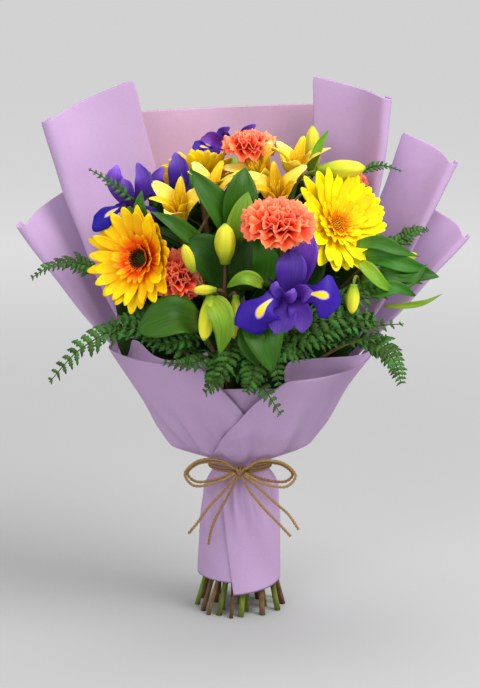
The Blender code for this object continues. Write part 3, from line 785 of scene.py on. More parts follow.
# %% A blade along a spine
def blade(bm, route, width, up, outline, across=4, along=8, fold=0.0, wave=0.0, waves=2.0,
          tint=0.0, twist=0.0, tip=0.0, phase=0.0):
    """A strip along the route; up is roughly its upper side. Fold lifts its edges, wave ruffles
    them, twist turns it (degrees), and tip rounds its end off (share of the length)."""
    rows = []
    for j in range(along + 1):
        v = j / along
        middle, ahead, side, face = spine_at(route, v, Vector(up))
        turn = math.radians(twist) * v
        turned = side * math.cos(turn) + face * math.sin(turn)
        face = face * math.cos(turn) - side * math.sin(turn)
        rows.append((middle, ahead, turned, face, width / 2 * max(outline(v), 0.03)))
    length = path_length([row[0] for row in rows])

    def place(u, v):
        middle, ahead, side, face, half = rows[round(v * along)]
        s = 2 * u - 1
        ruffle = wave * abs(s) * math.sin(math.tau * waves * v + phase + (2.1 if s > 0 else 0)) \
            * min(1.0, 3 * v)
        return middle + side * s * half + face * (fold * half * s * s + ruffle) \
            - ahead * tip * length * s * s * v ** 3

    surface(bm, place, across, along, tint)


def own_ways(dice, twist=0, wavy=True):
    """A shade, a twist and a phase of its own for one blade."""
    ways = {"tint": dice.uniform(-1, 1)}
    if twist:
        ways["twist"] = dice.uniform(-twist, twist)
    if wavy:
        ways["phase"] = dice.uniform(0, 6)
    return ways


def leafy(v):
    return math.sin(math.pi * min(v * 0.93 + 0.07, 1.0) ** 0.85) ** 0.8


def pose(seat, facing, spin=0.0):
    """The matrix that puts something modelled along +Z on its seat, pointing the given way."""
    turn = UP.rotation_difference(Vector(facing).normalized()).to_matrix().to_4x4()
    return Matrix.Translation(Vector(seat)) @ turn @ Matrix.Rotation(math.radians(spin), 4, "Z")


def flower(name, middle, facing, back, place, thickness, spin=0.0):
    """Make a flower's stem, and return the matrix of its seat, which is back mm behind its middle."""
    seat = Vector(middle) - Vector(facing).normalized() * back
    stem_piece(f"{name}_stem", seat, facing, place, thickness)
    return pose(seat, facing, spin)


def bloom_part(name, part, finish, slot, thickness, at, make, *ways):
    """Model a part of a bloom along +Z, and publish it on its seat."""
    bm = new_bouquet_mesh()
    make(bm, *ways)
    bmesh.ops.transform(bm, matrix=at, verts=bm.verts)
    publish(f"{name}_{part}", bm, finish, [f"{name}_bloom"], thickness, slot)

# %% [markdown]
# ## Gerberas
# A gerbera is a daisy: rows of strap petals round a flat disc of tiny florets, over a
# cup of green bracts. The left one has orange petal bases and a dark eye, the right one
# is clear lemon, and the top one looks away and shows its golden back.

# %% Gerberas: rows of strap petals
GERBERAS = {
    "left": ((-96, -80, 367), (-0.45, -0.86, 0.25), 0.94, (2, 4), 5.6, GOLD, DARK_FLORET, "golden_petal"),
    "right": ((95, -48, 396), (0.46, -0.77, 0.43), 1.0, (2, 11), 5.6, LEMON, FLORET, "lemon_petal"),
    "top": ((-42, 32, 437), (-0.15, 0.66, 0.74), 0.76, (2, 2), 5.6, TAWNY, FLORET, "golden_petal"),
}
GERBERA_BACK = 20  # from the seat to the middle of the head
GOLDEN_ANGLE = math.radians(137.508)
# Rows of petals from the outside in: how many, spine as (radius, height), petal width
RAYS = ((21, ((9, 15), (24, 17), (41, 25), (57, 33)), 14.0),
        (20, ((9, 17), (22, 20), (38, 29), (51, 38)), 12.5),
        (22, ((8, 19), (14, 22), (21, 26), (28, 32)), 7.0),
        (30, ((7, 20), (10, 22), (13, 25), (16, 28)), 3.0))
# How far up the colour ramp each row's tips reach: the short inner rows stay orange
PAINTED = (1.0, 0.9, 0.46, 0.3)
# The side on which each head's petals are crowded short by its neighbours
CROWDED = {"left": (1, 0, 0.2), "right": (0.5, 0, -0.1), "top": (0, 0, 1)}
CROWDED_SHARE = 0.32  # how much of its length a petal on that side loses


def strap(v):
    return 0.36 + 0.64 * smoothstep(0, 0.55, v) - 0.3 * smoothstep(0.78, 1, v)


def ray_petals(bm, at, size, dice, crowd):
    """Rows of petals; those below droop, and those on the crowded side are short."""
    into_head = at.to_3x3().inverted()
    down, crowd = into_head @ Vector((0, 0, -1)), into_head @ Vector(crowd)
    layer = bm.loops.layers.uv["UVMap"]
    for row, (count, spine, width) in enumerate(RAYS):
        seen = len(bm.faces)
        for k in range(count):
            angle = math.tau * (k + row / 2 + dice.uniform(-0.22, 0.22)) / count
            out = round_axis(angle, 1, 0)
            stretch = dice.uniform(0.9, 1.03) - CROWDED_SHARE * max(0.0, out.dot(crowd))
            lift = dice.uniform(-2.5, 2.0)
            droop = max(0.0, out.dot(down)) * (7 if row < 2 else 2) * dice.uniform(0.2, 1.6)
            route = []
            for i, (radius, height) in enumerate(spine):
                share = i / 3
                reach = mix(radius, radius * stretch, share)
                route.append(round_axis(angle, reach * size, (height + (lift - droop) * share ** 2) * size))
            blade(bm, route, width * size * dice.uniform(0.88, 1.08), (0, 0, 1), strap, 6, 9,
                  fold=0.22, wave=0.5, tip=0.13, **own_ways(dice, 14))
        bm.faces.ensure_lookup_table()
        for face in bm.faces[seen:]:
            for loop in face.loops:
                loop[layer].uv.y *= PAINTED[row]


def disc_florets(bm, size, dice, count=150):
    """A shallow dome packed with florets in a sunflower spiral."""
    for k in range(count):
        share = math.sqrt((k + 0.5) / count)
        angle = k * GOLDEN_ANGLE
        base = round_axis(angle, 11.5 * share * size, (20 + 1.5 * (1 - share)) * size)
        lean = round_axis(angle, 0.5 * share, 1).normalized()
        height = mix(2.2, 4.2, share) * size * dice.uniform(0.8, 1.2)
        pipe(bm, [base, base + lean * height * 0.6, base + lean * height],
             lambda s: mix(0.75, 0.5, abs(s - 0.5) * 2) * size, 5, dice.uniform(-1, 1))


def bracts(bm, size, dice):
    """The green cup under the head: a short cone wearing two rows of pointed bracts."""
    pipe(bm, [(0, 0, 0.7), (0, 0, 6 * size), (0, 0, 12 * size), (0, 0, 18 * size)],
         lambda s: mix(3.6, 9.5, smoothstep(0, 0.8, s)) * size, 16, 0.0)
    for row, (count, reach, height) in enumerate(((16, 13, 17), (14, 10.5, 11))):
        for k in range(count):
            angle = math.tau * (k + row / 2) / count
            route = outward(angle, (4.2 * size, 1.5 * size), (8.5 * size, 5 * size),
                            (10.4 * size, height * 0.7 * size), (reach * size, height * size))
            blade(bm, route, 4.2 * size, -round_axis(angle, 1, -0.6), leafy, 2, 4, fold=-0.2,
                  tint=dice.uniform(-1, 1))


for name, (middle, facing, size, place, thickness, petal, eye, slot) in GERBERAS.items():
    dice = random.Random("gerbera " + name)
    head = f"gerbera_{name}"
    at = flower(head, middle, facing, GERBERA_BACK, place, thickness)
    bloom_part(head, "petals", petal, slot, 0.35, at, ray_petals, at, size, dice, CROWDED[name])
    bloom_part(head, "florets", eye, slot, 0.0, at, disc_florets, size, dice)
    bloom_part(head, "bracts", SHOOT, "green_stem", 0.35, at, bracts, size, dice)

# %% [markdown]
# ## Carnations
# A carnation packs some forty ruffled, saw-edged petals into a slim green calyx. The
# outer ones hang back and the inner ones stand up, which makes a ball with deep coral
# folds and paler rims. A few petals fewer are enough for the same full ball.

# %% Carnations: ruffled petals
CARNATIONS = {
    "left": ((-58, -80, 348), (-0.06, -0.86, 0.45), 0.78, (2, 3), 4.0),
    "centre": ((36, -106, 402), (0.05, -0.52, 0.85), 0.96, (1, 1), 4.6),
    "top": ((9, -6, 466), (0.0, -0.15, 0.98), 0.80, (1, 2), 4.6),
    "right": ((107, -2, 431), (0.50, -0.30, 0.80), 0.68, (2, 0), 4.6),
}
CARNATION_BACK = 50  # from the seat to the middle of the bloom
PETALS, PETAL_ACROSS, PETAL_ALONG = 34, 14, 8
RUFFLE, SAW = 4.6, 1.1


def fan_petal(v):
    return 0.16 + 0.84 * smoothstep(0.35, 0.92, v)


def ruffled_petals(bm, size, dice):
    """Petals in a spiral: the first ones hang back and wide, and the last ones stand up."""
    for k in range(PETALS):
        inward = (k / (PETALS - 1)) ** 0.8
        angle = k * GOLDEN_ANGLE + dice.uniform(-0.2, 0.2)
        rise = math.radians(mix(-36, 84, inward))
        reach = 37 * size * dice.uniform(0.78, 1.06)
        tip = round_axis(angle, reach * math.cos(rise), CARNATION_BACK + (20 * math.sin(rise) + 1) * size)
        bend = round_axis(angle, mix(20, 3, inward) * size,
                          CARNATION_BACK + mix(3, 6, inward) * size - 4 * size)
        route = [round_axis(angle, 2.5, 20), round_axis(angle, mix(7, 3, inward), 30), bend, tip]
        up = mix(Vector((0, 0, 1)), -round_axis(angle, 1, -0.2), smoothstep(0.05, 0.5, inward))
        width = mix(38, 26, inward) * size * dice.uniform(0.85, 1.15)
        ripples, phase = dice.uniform(1.4, 2.6), dice.uniform(0, 6)
        rows = [spine_at(route, j / PETAL_ALONG, up) for j in range(PETAL_ALONG + 1)]

        def place(u, v):
            middle, ahead, side, face = rows[round(v * PETAL_ALONG)]
            s = 2 * u - 1
            half = width / 2 * fan_petal(v)
            ruffle = math.sin(math.pi * ripples * s + phase) * RUFFLE * size * v ** 3
            saw = (SAW if round(u * PETAL_ACROSS) % 2 else -SAW) * size * smoothstep(0.85, 1.0, v)
            saw += dice.uniform(-0.5, 0.5) * (v > 0.95)
            return middle + side * s * half * (1 - 0.12 * v) + face * (ruffle + 0.12 * half * s * s) \
                + ahead * (saw - 5.0 * size * s * s * v ** 3)

        tint = dice.uniform(-1, 1)
        surface(bm, place, PETAL_ACROSS, PETAL_ALONG, tint)


def calyx(bm):
    """A ribbed green tube with five teeth at the mouth and two scales at the foot."""
    pipe(bm, [(0, 0, h) for h in (0.7, 3, 8, 14, 20, 25, 28)],
         lambda s: (3.2, 4.8, 6.4, 7.0, 7.4, 7.8, 8.4)[round(s * 6)], 15, 0.0, (5, 0.04, 0.0))
    for k in range(5):
        angle = math.tau * k / 5
        route = outward(angle, (7.6, 22), (8.4, 27), (9.6, 31), (11.5, 35))
        blade(bm, route, 8.5, -round_axis(angle, 1, 0), lambda v: 1 - 0.95 * v, 2, 4, fold=0.3)
    for k in range(4):
        angle = math.tau * (k + 0.5) / 4
        route = outward(angle, (4.0, 1), (6.0, 4), (7.4, 8), (8.2, 12))
        blade(bm, route, 6, -round_axis(angle, 1, 0), leafy, 2, 4, fold=0.3, tint=0.5)


for name, (middle, facing, size, place, thickness) in CARNATIONS.items():
    dice = random.Random("carnation " + name)
    head = f"carnation_{name}"
    at = flower(head, middle, facing, CARNATION_BACK, place, thickness)
    bloom_part(head, "petals", CORAL, "coral_petal", 0.3, at, ruffled_petals, size, dice)
    bloom_part(head, "calyx", SHOOT, "green_stem", 0.3, at, calyx)

# %% [markdown]
# ## Irises
# A florist's iris has three falls, which arch out and hang with a yellow signal on the
# bend, three upright standards between them, and three small split style arms that lie
# over the base of each fall. Their petals are so few and so large that each one follows
# a route of its own, listed one by one; only the fall at the back is the same on them all.

# %% Irises: falls, standards and style arms
IRISES = {
    "centre": ((50, -110, 341), (0.05, -0.75, 0.65), 0.9, (1, 5), 5.4, 0),
    "left": ((-110, -8, 417), (-0.45, -0.30, 0.85), 0.58, (1, 3), 5.4, 0),
    "back_left": ((-64, -18, 437), (-0.10, 0.0, 1.0), 0.5, (1, 4), 5.4, 60),
    "back": ((-6, 75, 452), (0.0, 0.30, 1.0), 0.5, (2, 1), 5.4, 60),
}
IRIS_BACK = 45  # from the seat to the middle of the bloom
HERE = Matrix.Identity(4)


def fall_outline(v):
    return 0.34 + 0.10 * math.sin(math.pi * min(v / 0.4, 1)) + 0.60 * smoothstep(0.36, 0.66, v) \
        - 0.35 * smoothstep(0.86, 1.0, v)


def standard_outline(v):
    return 0.25 + 0.75 * math.sin(math.pi * (0.06 + 0.80 * v)) ** 1.3


def iris_falls(bm, at, size, dice, posed):
    """Falls that arch out and hang, and one plain one at the back of the flower."""
    for route, width in posed:
        blade(bm, route, width, (0, -1, 0.35), fall_outline, 12, 16, fold=-0.22, wave=1.4, waves=1.4,
              tip=0.12, **own_ways(dice))
    start = len(bm.verts)
    route = [p * size for p in outward(math.pi / 2, (2.5, 38), (16, 48), (28, 50), (38, 42))]
    blade(bm, route, 30 * size, (0, 0, 1), fall_outline, 8, 10, fold=-0.18, tip=0.10)
    move_new(bm, start, at)


def iris_standards(bm, dice, posed):
    """Standards that stand up between the falls, and the small style arms over their bases."""
    for route, width in posed:
        blade(bm, route, width, (0, -1, -0.1), standard_outline, 8, 12, fold=0.4, wave=1.0, waves=1.5,
              tip=0.14, **own_ways(dice))


# For each iris its falls, then its standards and style arms, as (route, width)
POSED = {
    "centre": (
        ((((45, -116, 335), (33, -130, 337), (21, -141, 329), (16, -141, 316), (17, -134, 303)), 44),
         (((48, -116, 336), (60, -128, 340), (73, -138, 341), (85, -137, 338), (94, -128, 333)), 44)),
        ((((50, -116, 334), (54, -128, 328), (58, -130, 317), (58, -126, 303)), 21),
         (((46, -112, 334), (41, -126, 327), (38, -132, 313), (36, -128, 300)), 26),
         (((47, -112, 336), (47, -116, 351), (48, -114, 366), (48, -104, 379)), 29),
         (((51, -106, 337), (56, -106, 359), (61, -102, 380), (66, -94, 397)), 27),
         (((44, -106, 337), (38, -100, 349), (34, -92, 359), (35, -84, 372)), 20),
         (((40, -124, 335), (36, -130, 340), (33, -130, 346), (34, -128, 352)), 11),
         (((41, -124, 335), (45, -134, 337), (48, -136, 341), (50, -134, 346)), 11),
         (((48, -118, 336), (56, -126, 341), (62, -132, 342), (68, -134, 342)), 18))),
    "left": (
        ((((-110, -50, 416), (-117, -62, 413), (-128, -70, 406), (-140, -72, 392)), 20),
         (((-104, -50, 415), (-94, -58, 413), (-86, -62, 407), (-84, -60, 399)), 17)),
        ((((-110, -46, 415), (-117, -50, 429), (-120, -50, 442), (-118, -44, 453)), 17),
         (((-102, -46, 413), (-94, -50, 427), (-93, -50, 441), (-99, -44, 455)), 17),
         (((-106, -54, 414), (-107, -60, 424), (-109, -60, 434), (-113, -58, 441)), 14))),
    "back_left": (
        ((((-68, -30, 421), (-74, -38, 426), (-79, -44, 425), (-83, -46, 417)), 20),),
        ((((-66, -20, 418), (-60, -26, 435), (-60, -26, 450), (-63, -20, 463)), 21),
         (((-70, -24, 419), (-78, -30, 429), (-80, -30, 439), (-74, -26, 450)), 14),
         (((-62, -24, 419), (-54, -28, 429), (-52, -28, 439), (-54, -24, 448)), 14))),
    "back": (
        ((((-20, 58, 457), (-32, 58, 461), (-40, 56, 463), (-48, 52, 461)), 14),),
        ((((-12, 60, 459), (-22, 60, 467), (-30, 58, 471), (-40, 55, 470)), 16),
         (((-8, 66, 461), (-14, 66, 471), (-18, 64, 477), (-10, 60, 482)), 11),
         (((0, 66, 463), (4, 66, 473), (8, 64, 479), (16, 62, 485)), 11))),
}


def iris_tube(bm, dice):
    """The green and violet tube that joins the petals to the stem, in two papery sheaths."""
    pipe(bm, [(0, 0, h) for h in (0.7, 8, 20, 32, 42)], lambda s: mix(3.2, 3.8, s), 10, 0.0)
    for side in (0, 1):
        angle = math.pi * side + dice.uniform(-0.4, 0.4)
        route = outward(angle, (3.6, 1), (5.5, 14), (5.8, 28), (7.5, 44))
        blade(bm, route, 14, -round_axis(angle, 1, 0), leafy, 4, 6, fold=0.7, tint=0.4)


for name, (middle, facing, size, place, thickness, spin) in IRISES.items():
    dice = random.Random("iris " + name)
    head = f"iris_{name}"
    at = flower(head, middle, facing, IRIS_BACK, place, thickness, spin)
    falls, standards = POSED[name]
    bloom_part(head, "falls", FALL, "violet_petal", 0.35, HERE, iris_falls, at, size, dice, falls)
    bloom_part(head, "standards", STANDARD, "violet_petal", 0.35, HERE, iris_standards, dice, standards)
    bloom_part(head, "tube", SHOOT, "green_stem", 0.35, at, iris_tube, dice)

# %% [markdown]
# ## Alstroemerias
# One alstroemeria stem splits at its top into several short stalks. Each ends in a
# trumpet of six tepals, three broad and plain, and three narrow with brown dashes, or in
# a closed ribbed bud.

# %% Alstroemerias: branched stalks, trumpets and buds
# Each stem's fork, facing, place at the tie and thickness, then its open blooms as (name,
# seat, facing) and its buds as (seat, facing, length, width)
BRANCHED = {
    "left": ((-42, -42, 380), (-0.15, -0.30, 0.95), (2, 5), 4.6,
             (("left_outer", (-56, -52, 396), (-0.10, -0.55, 0.8)),
              ("left_inner", (-30, -28, 408), (0.05, -0.35, 0.9))), ()),
    "top": ((46, -20, 405), (0.10, -0.10, 1.0), (1, 0), 4.6,
            (("top_tall", (54, -20, 432), (0.0, -0.35, 0.95)),
             ("top_open", (38, -36, 410), (-0.10, -0.60, 0.75)),
             ("top_front", (28, -20, 428), (-0.45, -0.45, 0.75))),
            (((72, 22, 440), (0.0, 0.0, 1.0), 46, 15), ((78, -36, 447), (1.0, 0.1, 0.04), 44, 17))),
    "right": ((108, -50, 325), (0.70, -0.40, 0.60), (2, 10), 4.6, (),
              (((107, -102, 343), (-0.05, -0.20, -0.9), 26, 12),
               ((146, -40, 356), (0.9, -0.10, 0.35), 28, 11))),
    "front": ((-15, -92, 322), (-0.05, -0.80, 0.60), (2, 6), 4.6, (),
              (((-14, -102, 368), (0.0, -0.20, 1.0), 36, 18),
               ((-24, -122, 343), (-1.0, -0.20, 0.0), 20, 9),
               ((-28, -118, 334), (-0.15, -0.20, -1.0), 40, 15),
               ((-4, -116, 334), (-0.05, -0.15, -1.0), 38, 11),
               ((-44, -127, 362), (-0.3, -0.1, 0.9), 26, 10))),
}
PEDICEL = 3.0


def tepal_outline(v):
    return 0.22 + 0.78 * math.sin(math.pi * min(1.0, 0.12 + 0.80 * v)) ** 1.2


def trumpet(broad, narrow, at, dice):
    """Six tepals: the broad ones in one mesh, the streaked narrow ones and stamens in another."""
    for k in range(6):
        angle = math.tau * k / 6 + dice.uniform(-0.1, 0.1)
        flare = dice.uniform(0.85, 1.15)
        if k % 2:
            route = outward(angle, (3, 5), (6, 18), (13, 32), (25 * flare, 42))
            parts, width, fold, up = narrow, 12, 0.5, -round_axis(angle, 1, -0.5)
        else:
            route = outward(angle, (3, 3), (8, 16), (17, 29), (31 * flare, 37))
            parts, width, fold, up = broad, 21, 0.3, UP
        blade(parts, route, width, up, tepal_outline, 6, 9, fold=fold, wave=0.8, tip=0.06,
              **own_ways(dice, 12))
    for k in range(6):
        lean = dice.uniform(3, 6)
        stamen = outward(math.tau * (k + 0.3) / 6, (1, 8), (2.0, 18), (lean * 0.6, 27), (lean, 34))
        pipe(narrow, stamen, 0.5, 5, -1.0)
    move_new(broad, 0, at)
    move_new(narrow, 0, at)


def bud_into(bm, seat, facing, length, width, tint):
    """A closed bud: a ribbed egg on a green foot."""
    axis = Vector(facing).normalized()
    route = [Vector(seat) + axis * length * k / 12 for k in range(-1, 13)]

    def radius(share):
        place = max(0.0, (share * 13 - 1) / 12)
        return width / 2 * (0.30 + 0.75 * math.sin(math.pi * min(1.0, 0.10 + 0.86 * place)) ** 0.9
                            - 0.25 * smoothstep(0.85, 1.0, place))
    start = len(bm.verts)
    pipe(bm, route, radius, 18, tint, (6, 0.09, 0.012))
    bm.verts.ensure_lookup_table()
    layer = bm.loops.layers.uv["UVMap"]
    for vert in bm.verts[start:]:
        for loop in vert.link_loops:
            loop[layer].uv.y = min(1.0, max(0.0, (vert.co - Vector(seat)).dot(axis) / length))


for name, (fork, facing, place, thickness, blooms, buds) in BRANCHED.items():
    dice = random.Random("alstroemeria " + name)
    fork, axis = Vector(fork), Vector(facing).normalized()
    stalks = [(seat, way) for _, seat, way in blooms] + [(seat, way) for seat, way, _, _ in buds]

    def add_stalks(bm, dice, stalks=stalks, fork=fork, axis=axis):
        for k, (seat, way) in enumerate(stalks):
            way, start = Vector(way).normalized(), fork - axis * (3 + 1.3 * k)
            reach = (Vector(seat) - start).length
            bend = interpolate_bezier(start, start + axis * reach * 0.4,
                                      Vector(seat) - way * reach * 0.4, Vector(seat), 12)
            pipe(bm, bend, PEDICEL / 2, 8, dice.uniform(-1, 1))

    stem_piece(f"alstroemeria_{name}_stem", fork, facing, place, thickness, extra=add_stalks)
    if buds:
        bm = new_bouquet_mesh()
        for seat, way, length, width in buds:
            bud_into(bm, seat, way, length, width, dice.uniform(-1, 1))
        publish(f"alstroemeria_{name}_buds", bm, BUD, [f"alstroemeria_{name}_stem"], 0.0, "cream_petal")
    for bloom, seat, way in blooms:
        # The third bloom of the top stem has no solid of its own
        solid = [n for n in (f"alstroemeria_{bloom}_bloom",) if n in NODES]
        broad, narrow = new_bouquet_mesh(), new_bouquet_mesh()
        trumpet(broad, narrow, pose(seat, way, dice.uniform(0, 60)), dice)
        publish(f"alstroemeria_{bloom}_broad", broad, CREAM, solid, 0.35, "cream_petal")
        publish(f"alstroemeria_{bloom}_narrow", narrow, STREAKED, solid, 0.35, "cream_petal")

# %% [markdown]
# ## Leaves
# The broad leaves belong to the alstroemerias. They have parallel veins, a shallow fold
# and a slow twist. Some have a solid of their own in the frame. The rest fill the gaps
# between the flowers.

# %% Leaves
# Each stem's top, facing and place at the tie, and its leaves as (route, width)
FOLIAGE = {
    "centre": ((1, -66, 384), (0.05, 0.10, 1.0), (2, 8),
               ((((1, -66, 384), (0, -74, 410), (2, -74, 434), (5, -64, 452)), 34),
                (((0, -66, 382), (-16, -75, 408), (-32, -80, 430), (-45, -78, 450)), 30))),
    "left": ((-40, -92, 308), (-0.30, -0.60, 0.70), (2, 7),
             ((((-40, -92, 308), (-60, -108, 314), (-80, -114, 308), (-97, -112, 302)), 44),)),
    "front": ((18, -98, 306), (0.10, -0.80, 0.50), (2, 9),
              ((((18, -98, 306), (20, -118, 308), (24, -130, 292), (30, -132, 266)), 40),)),
    "right": ((118, -28, 332), (0.70, -0.20, 0.60), (0, 0),
              ((((118, -28, 332), (142, -46, 342), (168, -58, 350), (192, -58, 346)), 26),)),
}


def leaf_into(bm, route, width, up, dice):
    blade(bm, route, width, up, leafy, 6, 14, fold=0.35, wave=1.2, waves=1.3, **own_ways(dice, 18))


for name, (base, facing, place, leaves) in FOLIAGE.items():
    dice = random.Random("leaf " + name)
    stem_piece(f"foliage_{name}", base, facing, place, 4.0)
    bm = new_bouquet_mesh()
    for route, width in leaves:
        leaf_into(bm, route, width, (0, -1, 0.6), dice)
    publish(f"foliage_{name}_leaves", bm, LEAF, [f"foliage_{name}"], 0.4, "leaf")

# %% [markdown]
# ### Leaves between the flowers
# These leaves have no solid of their own, because each is a thin blade on a stem that
# has one. Their routes are listed, and each starts on the bunch behind it. Behind them
# every stem wears a few leaves, which close the bunch as on the real one; their darker
# green is painted shade.

# %% Leaves between the flowers
FREE_LEAVES = {
    "fresh": (FRESH_LEAF, (
        (((-26, -118, 334), (-19, -130, 324), (-15, -134, 307), (-19, -130, 283)), 24),
        (((21, -116, 346), (10, -126, 354), (0, -128, 354), (-12, -122, 345)), 14),
        (((138, -74, 320), (157, -80, 321), (176, -78, 324), (194, -70, 331)), 6),
        (((115, -70, 362), (124, -86, 355), (135, -88, 343), (147, -82, 335)), 14),
        (((68, -20, 444), (72, -26, 458), (78, -26, 472), (86, -22, 485)), 9),
        (((1, -74, 366), (0, -86, 390), (3, -86, 411), (8, -76, 430)), 28),
    )),
    "mid": (LEAF, (
        (((-34, -78, 380), (-47, -92, 390), (-64, -100, 403), (-84, -98, 414)), 17),
        (((21, -90, 343), (25, -104, 363), (22, -108, 379), (16, -104, 394)), 26),
        (((9, -112, 311), (10, -124, 298), (14, -126, 285), (21, -122, 269)), 26),
        (((117, -60, 365), (138, -70, 367), (157, -72, 360), (181, -62, 353)), 21),
        (((112, -60, 378), (132, -70, 380), (150, -72, 374), (172, -62, 366)), 15),
        (((127, -66, 352), (145, -76, 344), (163, -74, 345), (179, -64, 359)), 15),
        (((115, -70, 340), (131, -84, 337), (149, -84, 339), (168, -76, 330)), 17),
        (((118, -64, 346), (136, -76, 350), (154, -76, 348), (176, -66, 340)), 13),
        (((-34, -40, 419), (-39, -46, 429), (-43, -48, 439), (-48, -46, 450)), 14),
        (((-85, -55, 381), (-94, -62, 400), (-96, -64, 415), (-94, -60, 430)), 14),
        (((-80, -30, 413), (-85, -40, 423), (-88, -42, 434), (-87, -40, 446)), 12),
    )),
    # The deep leaves wear the darker leaf finish, which is painted shade
    "deep": (SHADE_PAINTED_LEAF, (
        (((-10, -80, 341), (-24, -92, 365), (-38, -98, 378), (-54, -94, 384)), 40),
        (((6, -80, 336), (4, -90, 357), (7, -92, 375), (11, -88, 389)), 32),
        (((-72, -70, 325), (-78, -90, 317), (-85, -96, 308), (-95, -92, 300)), 28),
        (((58, -64, 335), (66, -70, 354), (68, -70, 371), (70, -66, 385)), 30),
        (((0, -70, 325), (-11, -84, 337), (-21, -88, 351), (-29, -84, 364)), 32),
    )),
}
for name, (finish, leaves) in FREE_LEAVES.items():
    dice = random.Random("free leaves " + name)
    bm = new_bouquet_mesh()
    for route, width in leaves:
        leaf_into(bm, route, width, (0, -1, 0.4), dice)
    publish(f"leaves_{name}", bm, finish, thickness=0.4, slot="leaf")


LEAVES_PER_STEM = 6
BACKING_ROWS, BACKING_COLUMNS, BACKING_LENGTH = range(285, 431, 24), 9, 62


def stem_leaves():
    """Leaves up each stem, between the rim of the paper and the flowers."""
    dice = random.Random("stem leaves")
    bm = new_bouquet_mesh()
    for route in STEM_ROUTES:
        upper = [p for p in route if 205 < p.z]
        for _ in range(LEAVES_PER_STEM):
            base = upper[int(dice.uniform(0.05, 0.9) * (len(upper) - 1))]
            stray = Vector((dice.uniform(-0.8, 0.8), dice.uniform(-0.8, 0.5), 0))
            out = (Vector((base.x, base.y + 20, 0)).normalized() + stray).normalized()
            length = dice.uniform(45, 80)
            lift = dice.uniform(0.3, 1.0)
            tip = base + (out + UP * lift).normalized() * length
            bend = base + (out * 0.4 + UP * lift * 1.1) * length * 0.5
            # Leave out those that would reach past the flowers or through the paper
            low_and_wide = tip.z < 300 and math.hypot(tip.x, tip.y) > 62
            if tip.z > 420 or abs(tip.x) > 125 or not -58 < tip.y < 60 or low_and_wide:
                continue
            blade(bm, [base, mix(base, bend, 0.6), mix(bend, tip, 0.35), tip], dice.uniform(18, 30),
                  UP - out, leafy, 4, 9, fold=0.35, wave=1.2, **own_ways(dice, 25))
    # These leaves wear the darker leaf finish, which is painted shade
    publish("leaves_on_stems", bm, SHADE_PAINTED_LEAF, slot="leaf", thickness=0.4)


def backing_leaves():
    """Broad dark leaves in staggered rows behind the flowers, where no light gets in; their dark green is
    painted shade.
    """
    dice = random.Random("backing leaves")
    bm = new_bouquet_mesh()
    for j, height in enumerate(BACKING_ROWS):
        reach = 122 - 0.32 * max(0, height - 350)  # the bunch narrows towards the top
        for k in range(BACKING_COLUMNS):
            x = mix(-reach + 8, reach, (k + 0.5 * (j % 2)) / 8.5) + dice.uniform(-6, 6)
            y = mix(-34, 20, smoothstep(285, 430, height)) + 0.0016 * x * x + dice.uniform(-8, 8)
            tip = Vector((x * 1.04, y - 12, height + dice.uniform(-5, 6)))
            base = Vector((x * mix(0.45, 0.75, smoothstep(285, 340, height)), y + 14,
                           height - BACKING_LENGTH))
            blade(bm, [base, mix(base, tip, 0.35) + Vector((0, 3, 2)), mix(base, tip, 0.7), tip],
                  dice.uniform(30, 40), (dice.uniform(-0.4, 0.4), -1, 0.3), leafy, 4, 9, fold=0.3, wave=1.4,
                  **own_ways(dice, 20))
    # These leaves wear the darker leaf finish, which is painted shade
    publish("leaves_backing", bm, SHADE_PAINTED_LEAF, slot="leaf", thickness=0.4)


stem_leaves()
backing_leaves()

# %% [markdown]
# ## Ferns
# Fern fronds stick out between the flowers and the rim of the paper. A frond is a wiry
# midrib with pairs of toothed leaflets that shorten towards the tip.

# %% Ferns
FERNS = {
    "low_left": ((-84, -76, 296), (-0.80, -0.20, 0.30), (3, 6),
                 ((-84, -76, 296), (-120, -88, 298), (-154, -94, 280), (-182, -96, 250)), 48),
    "left": ((-138, -38, 350), (-0.80, -0.20, 0.40), (3, 5),
             ((-138, -38, 350), (-160, -44, 358), (-182, -50, 356), (-202, -52, 344)), 34),
    "front": ((-24, -86, 268), (0.30, -0.80, 0.20), (3, 7),
              ((-24, -86, 268), (-4, -106, 268), (20, -114, 250), (39, -114, 222)), 44),
    "low_right": ((112, -74, 286), (0.60, -0.30, 0.20), (3, 10),
                  ((112, -74, 286), (134, -84, 284), (148, -92, 268), (154, -94, 248)), 40),
    "right": ((140, -28, 366), (0.80, 0.0, 0.50), (3, 11),
              ((140, -28, 366), (156, -26, 378), (170, -24, 386), (184, -20, 388)), 30),
}
FERN_STALK = 3.2


def toothed(v):
    return (0.42 + 0.58 * abs(math.sin(math.pi * 4 * v))) * leafy(v)


def frond(bm, route, width, up, dice, pairs=14, plump=0.5, lean=0.4):
    """A midrib along the route with pairs of toothed leaflets."""
    up = Vector(up)
    pipe(bm, pulled(route, 6), lambda s: mix(0.9, 0.35, s), 6, dice.uniform(-1, 0))
    for k in range(pairs):
        share = (k + 0.6) / pairs
        middle, ahead, side, face = spine_at(route, share, up)
        reach = width / 2 * (1.08 - share) ** 0.6 * min(1.0, 0.5 + 4 * share)
        for way in (-1, 1):
            out = (side * way + ahead * lean + face * dice.uniform(-0.2, 0.3)).normalized()
            tip = middle + out * reach * dice.uniform(0.85, 1.1)
            sag = face * reach * 0.10
            blade(bm, [middle, middle + out * reach * 0.35 + sag, middle + out * reach * 0.7 + sag,
                       tip - sag * 1.2 + ahead * reach * 0.1], reach * plump, face, toothed, 2, 14,
                  fold=-0.3, **own_ways(dice, 25, wavy=False))


